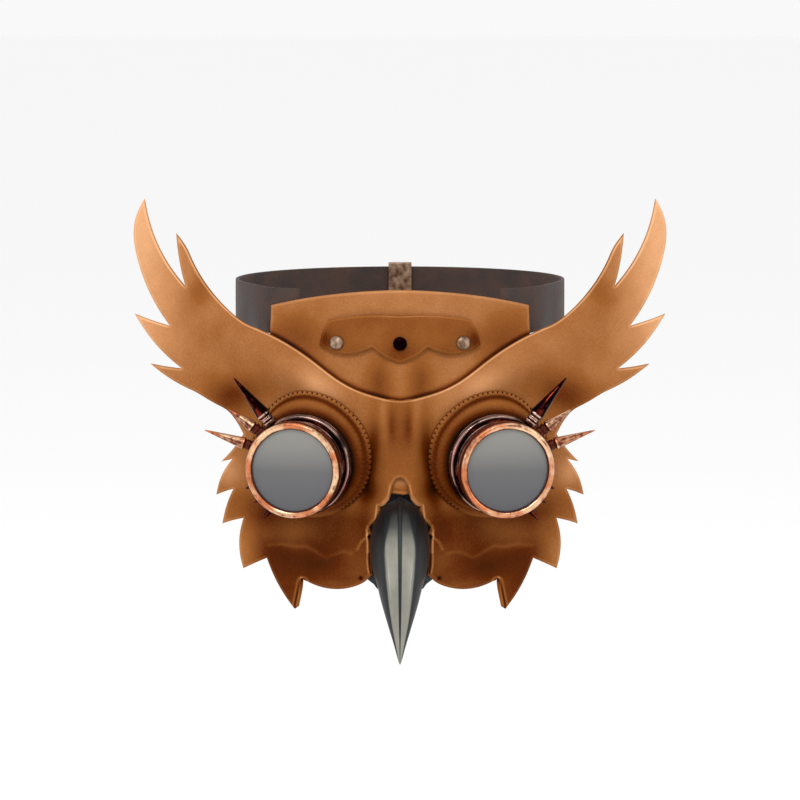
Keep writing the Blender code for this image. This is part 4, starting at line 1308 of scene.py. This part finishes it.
# Head strap: a plain dark leather band that runs round the back of the head. Its ends are glued behind the
# forehead panel.
strap = merged_copy("strap", "head_strap")
joined_to_quads(math.radians(60))
bpy.ops.object.mode_set(mode="OBJECT")
finish_with(strap, "BEVEL", width=0.0005, segments=2, limit_method="ANGLE", angle_limit=math.radians(60))
finish_with(strap, "SUBSURF", levels=2, render_levels=2)
bpy.ops.object.shade_smooth_by_angle(angle=math.radians(60))
hide = Finish("dark_strap_leather")
on_hide = hide.place()
grain = hide.grain(on_hide, 900.0)
handled = hide.cloud(on_hide, 70.0, 4.0)
hide.surface(
    Base_Color=hide.shades(handled, (0.3, shade(28, 14, 8)), (0.7, shade(62, 34, 20))),
    Roughness=0.42 + 0.3 * handled,
    Normal=hide.bumped(grain, 0.00018),
)
strap.data.materials.append(hide.material)
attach(strap, "root")
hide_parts("head_strap")


# Strap buckle: a plain slide of sheet metal, plated in antique silver and bent round the strap. It sits at
# the back of the head.
buckle = merged_copy("buckle", "strap_buckle")
joined_to_quads(math.radians(10))
bpy.ops.object.mode_set(mode="OBJECT")
finish_with(buckle, "BEVEL", width=0.0005, segments=4, limit_method="ANGLE", angle_limit=math.radians(50))
bpy.ops.object.shade_smooth_by_angle(angle=math.radians(40))
buckle.data.materials.append(silver.material)
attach(buckle, "root")
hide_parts("strap_buckle")


# Studio: a pale floor, a broad soft light over the camera, a weaker one on each side, and the camera a little
# above the mask.
FLOOR_DROP = 0.300
CAMERA_DISTANCE = 2.2
CAMERA_RISE = math.radians(6.0)
LENS_LENGTH = 176.8
SENSOR_WIDTH = 36.0

bpy.ops.object.select_all(action="DESELECT")
bpy.ops.mesh.primitive_grid_add(x_subdivisions=8, y_subdivisions=8, size=80, location=(0, 0, -FLOOR_DROP))
floor = bpy.context.object
floor.name = "studio_floor"
paper = Finish("studio_paper")
paper.surface(Base_Color=shade(252, 252, 252), Roughness=0.9)
floor.data.materials.append(paper.material)

world = bpy.data.worlds.new("studio_air")
world.use_nodes = True
world.node_tree.nodes["Background"].inputs["Color"].default_value = (1.0, 1.0, 1.0, 1.0)
world.node_tree.nodes["Background"].inputs["Strength"].default_value = 0.95
bpy.context.scene.world = world
bpy.context.scene.view_settings.view_transform = "Standard"

# name, place, size, power in watts
LAMPS = (
    ("key_light", (-0.3, -1.7, 1.9), 0.9, 17),
    ("side_light_left", (-1.7, -0.9, 0.5), 0.7, 3),
    ("side_light_right", (1.7, -0.9, 0.5), 0.7, 3),
    ("small_light_left", (-0.8, -1.2, 1.4), 0.14, 1.3),
    ("small_light_right", (0.8, -1.2, 1.4), 0.14, 1.3),
)
for name, place, size, power in LAMPS:
    bpy.ops.object.light_add(type="AREA", location=place)
    lamp = bpy.context.object
    lamp.name = name
    lamp.data.shape = "DISK"
    lamp.data.size = size
    lamp.data.energy = power
    lamp.rotation_euler = (-Vector(place)).to_track_quat("-Z", "Y").to_euler()

bpy.ops.object.camera_add(
    location=(0, -CAMERA_DISTANCE * math.cos(CAMERA_RISE), CAMERA_DISTANCE * math.sin(CAMERA_RISE)),
    rotation=(math.pi / 2 - CAMERA_RISE, 0, 0),
)
camera = bpy.context.object
camera.data.lens = LENS_LENGTH
camera.data.sensor_width = SENSOR_WIDTH
bpy.context.scene.camera = camera
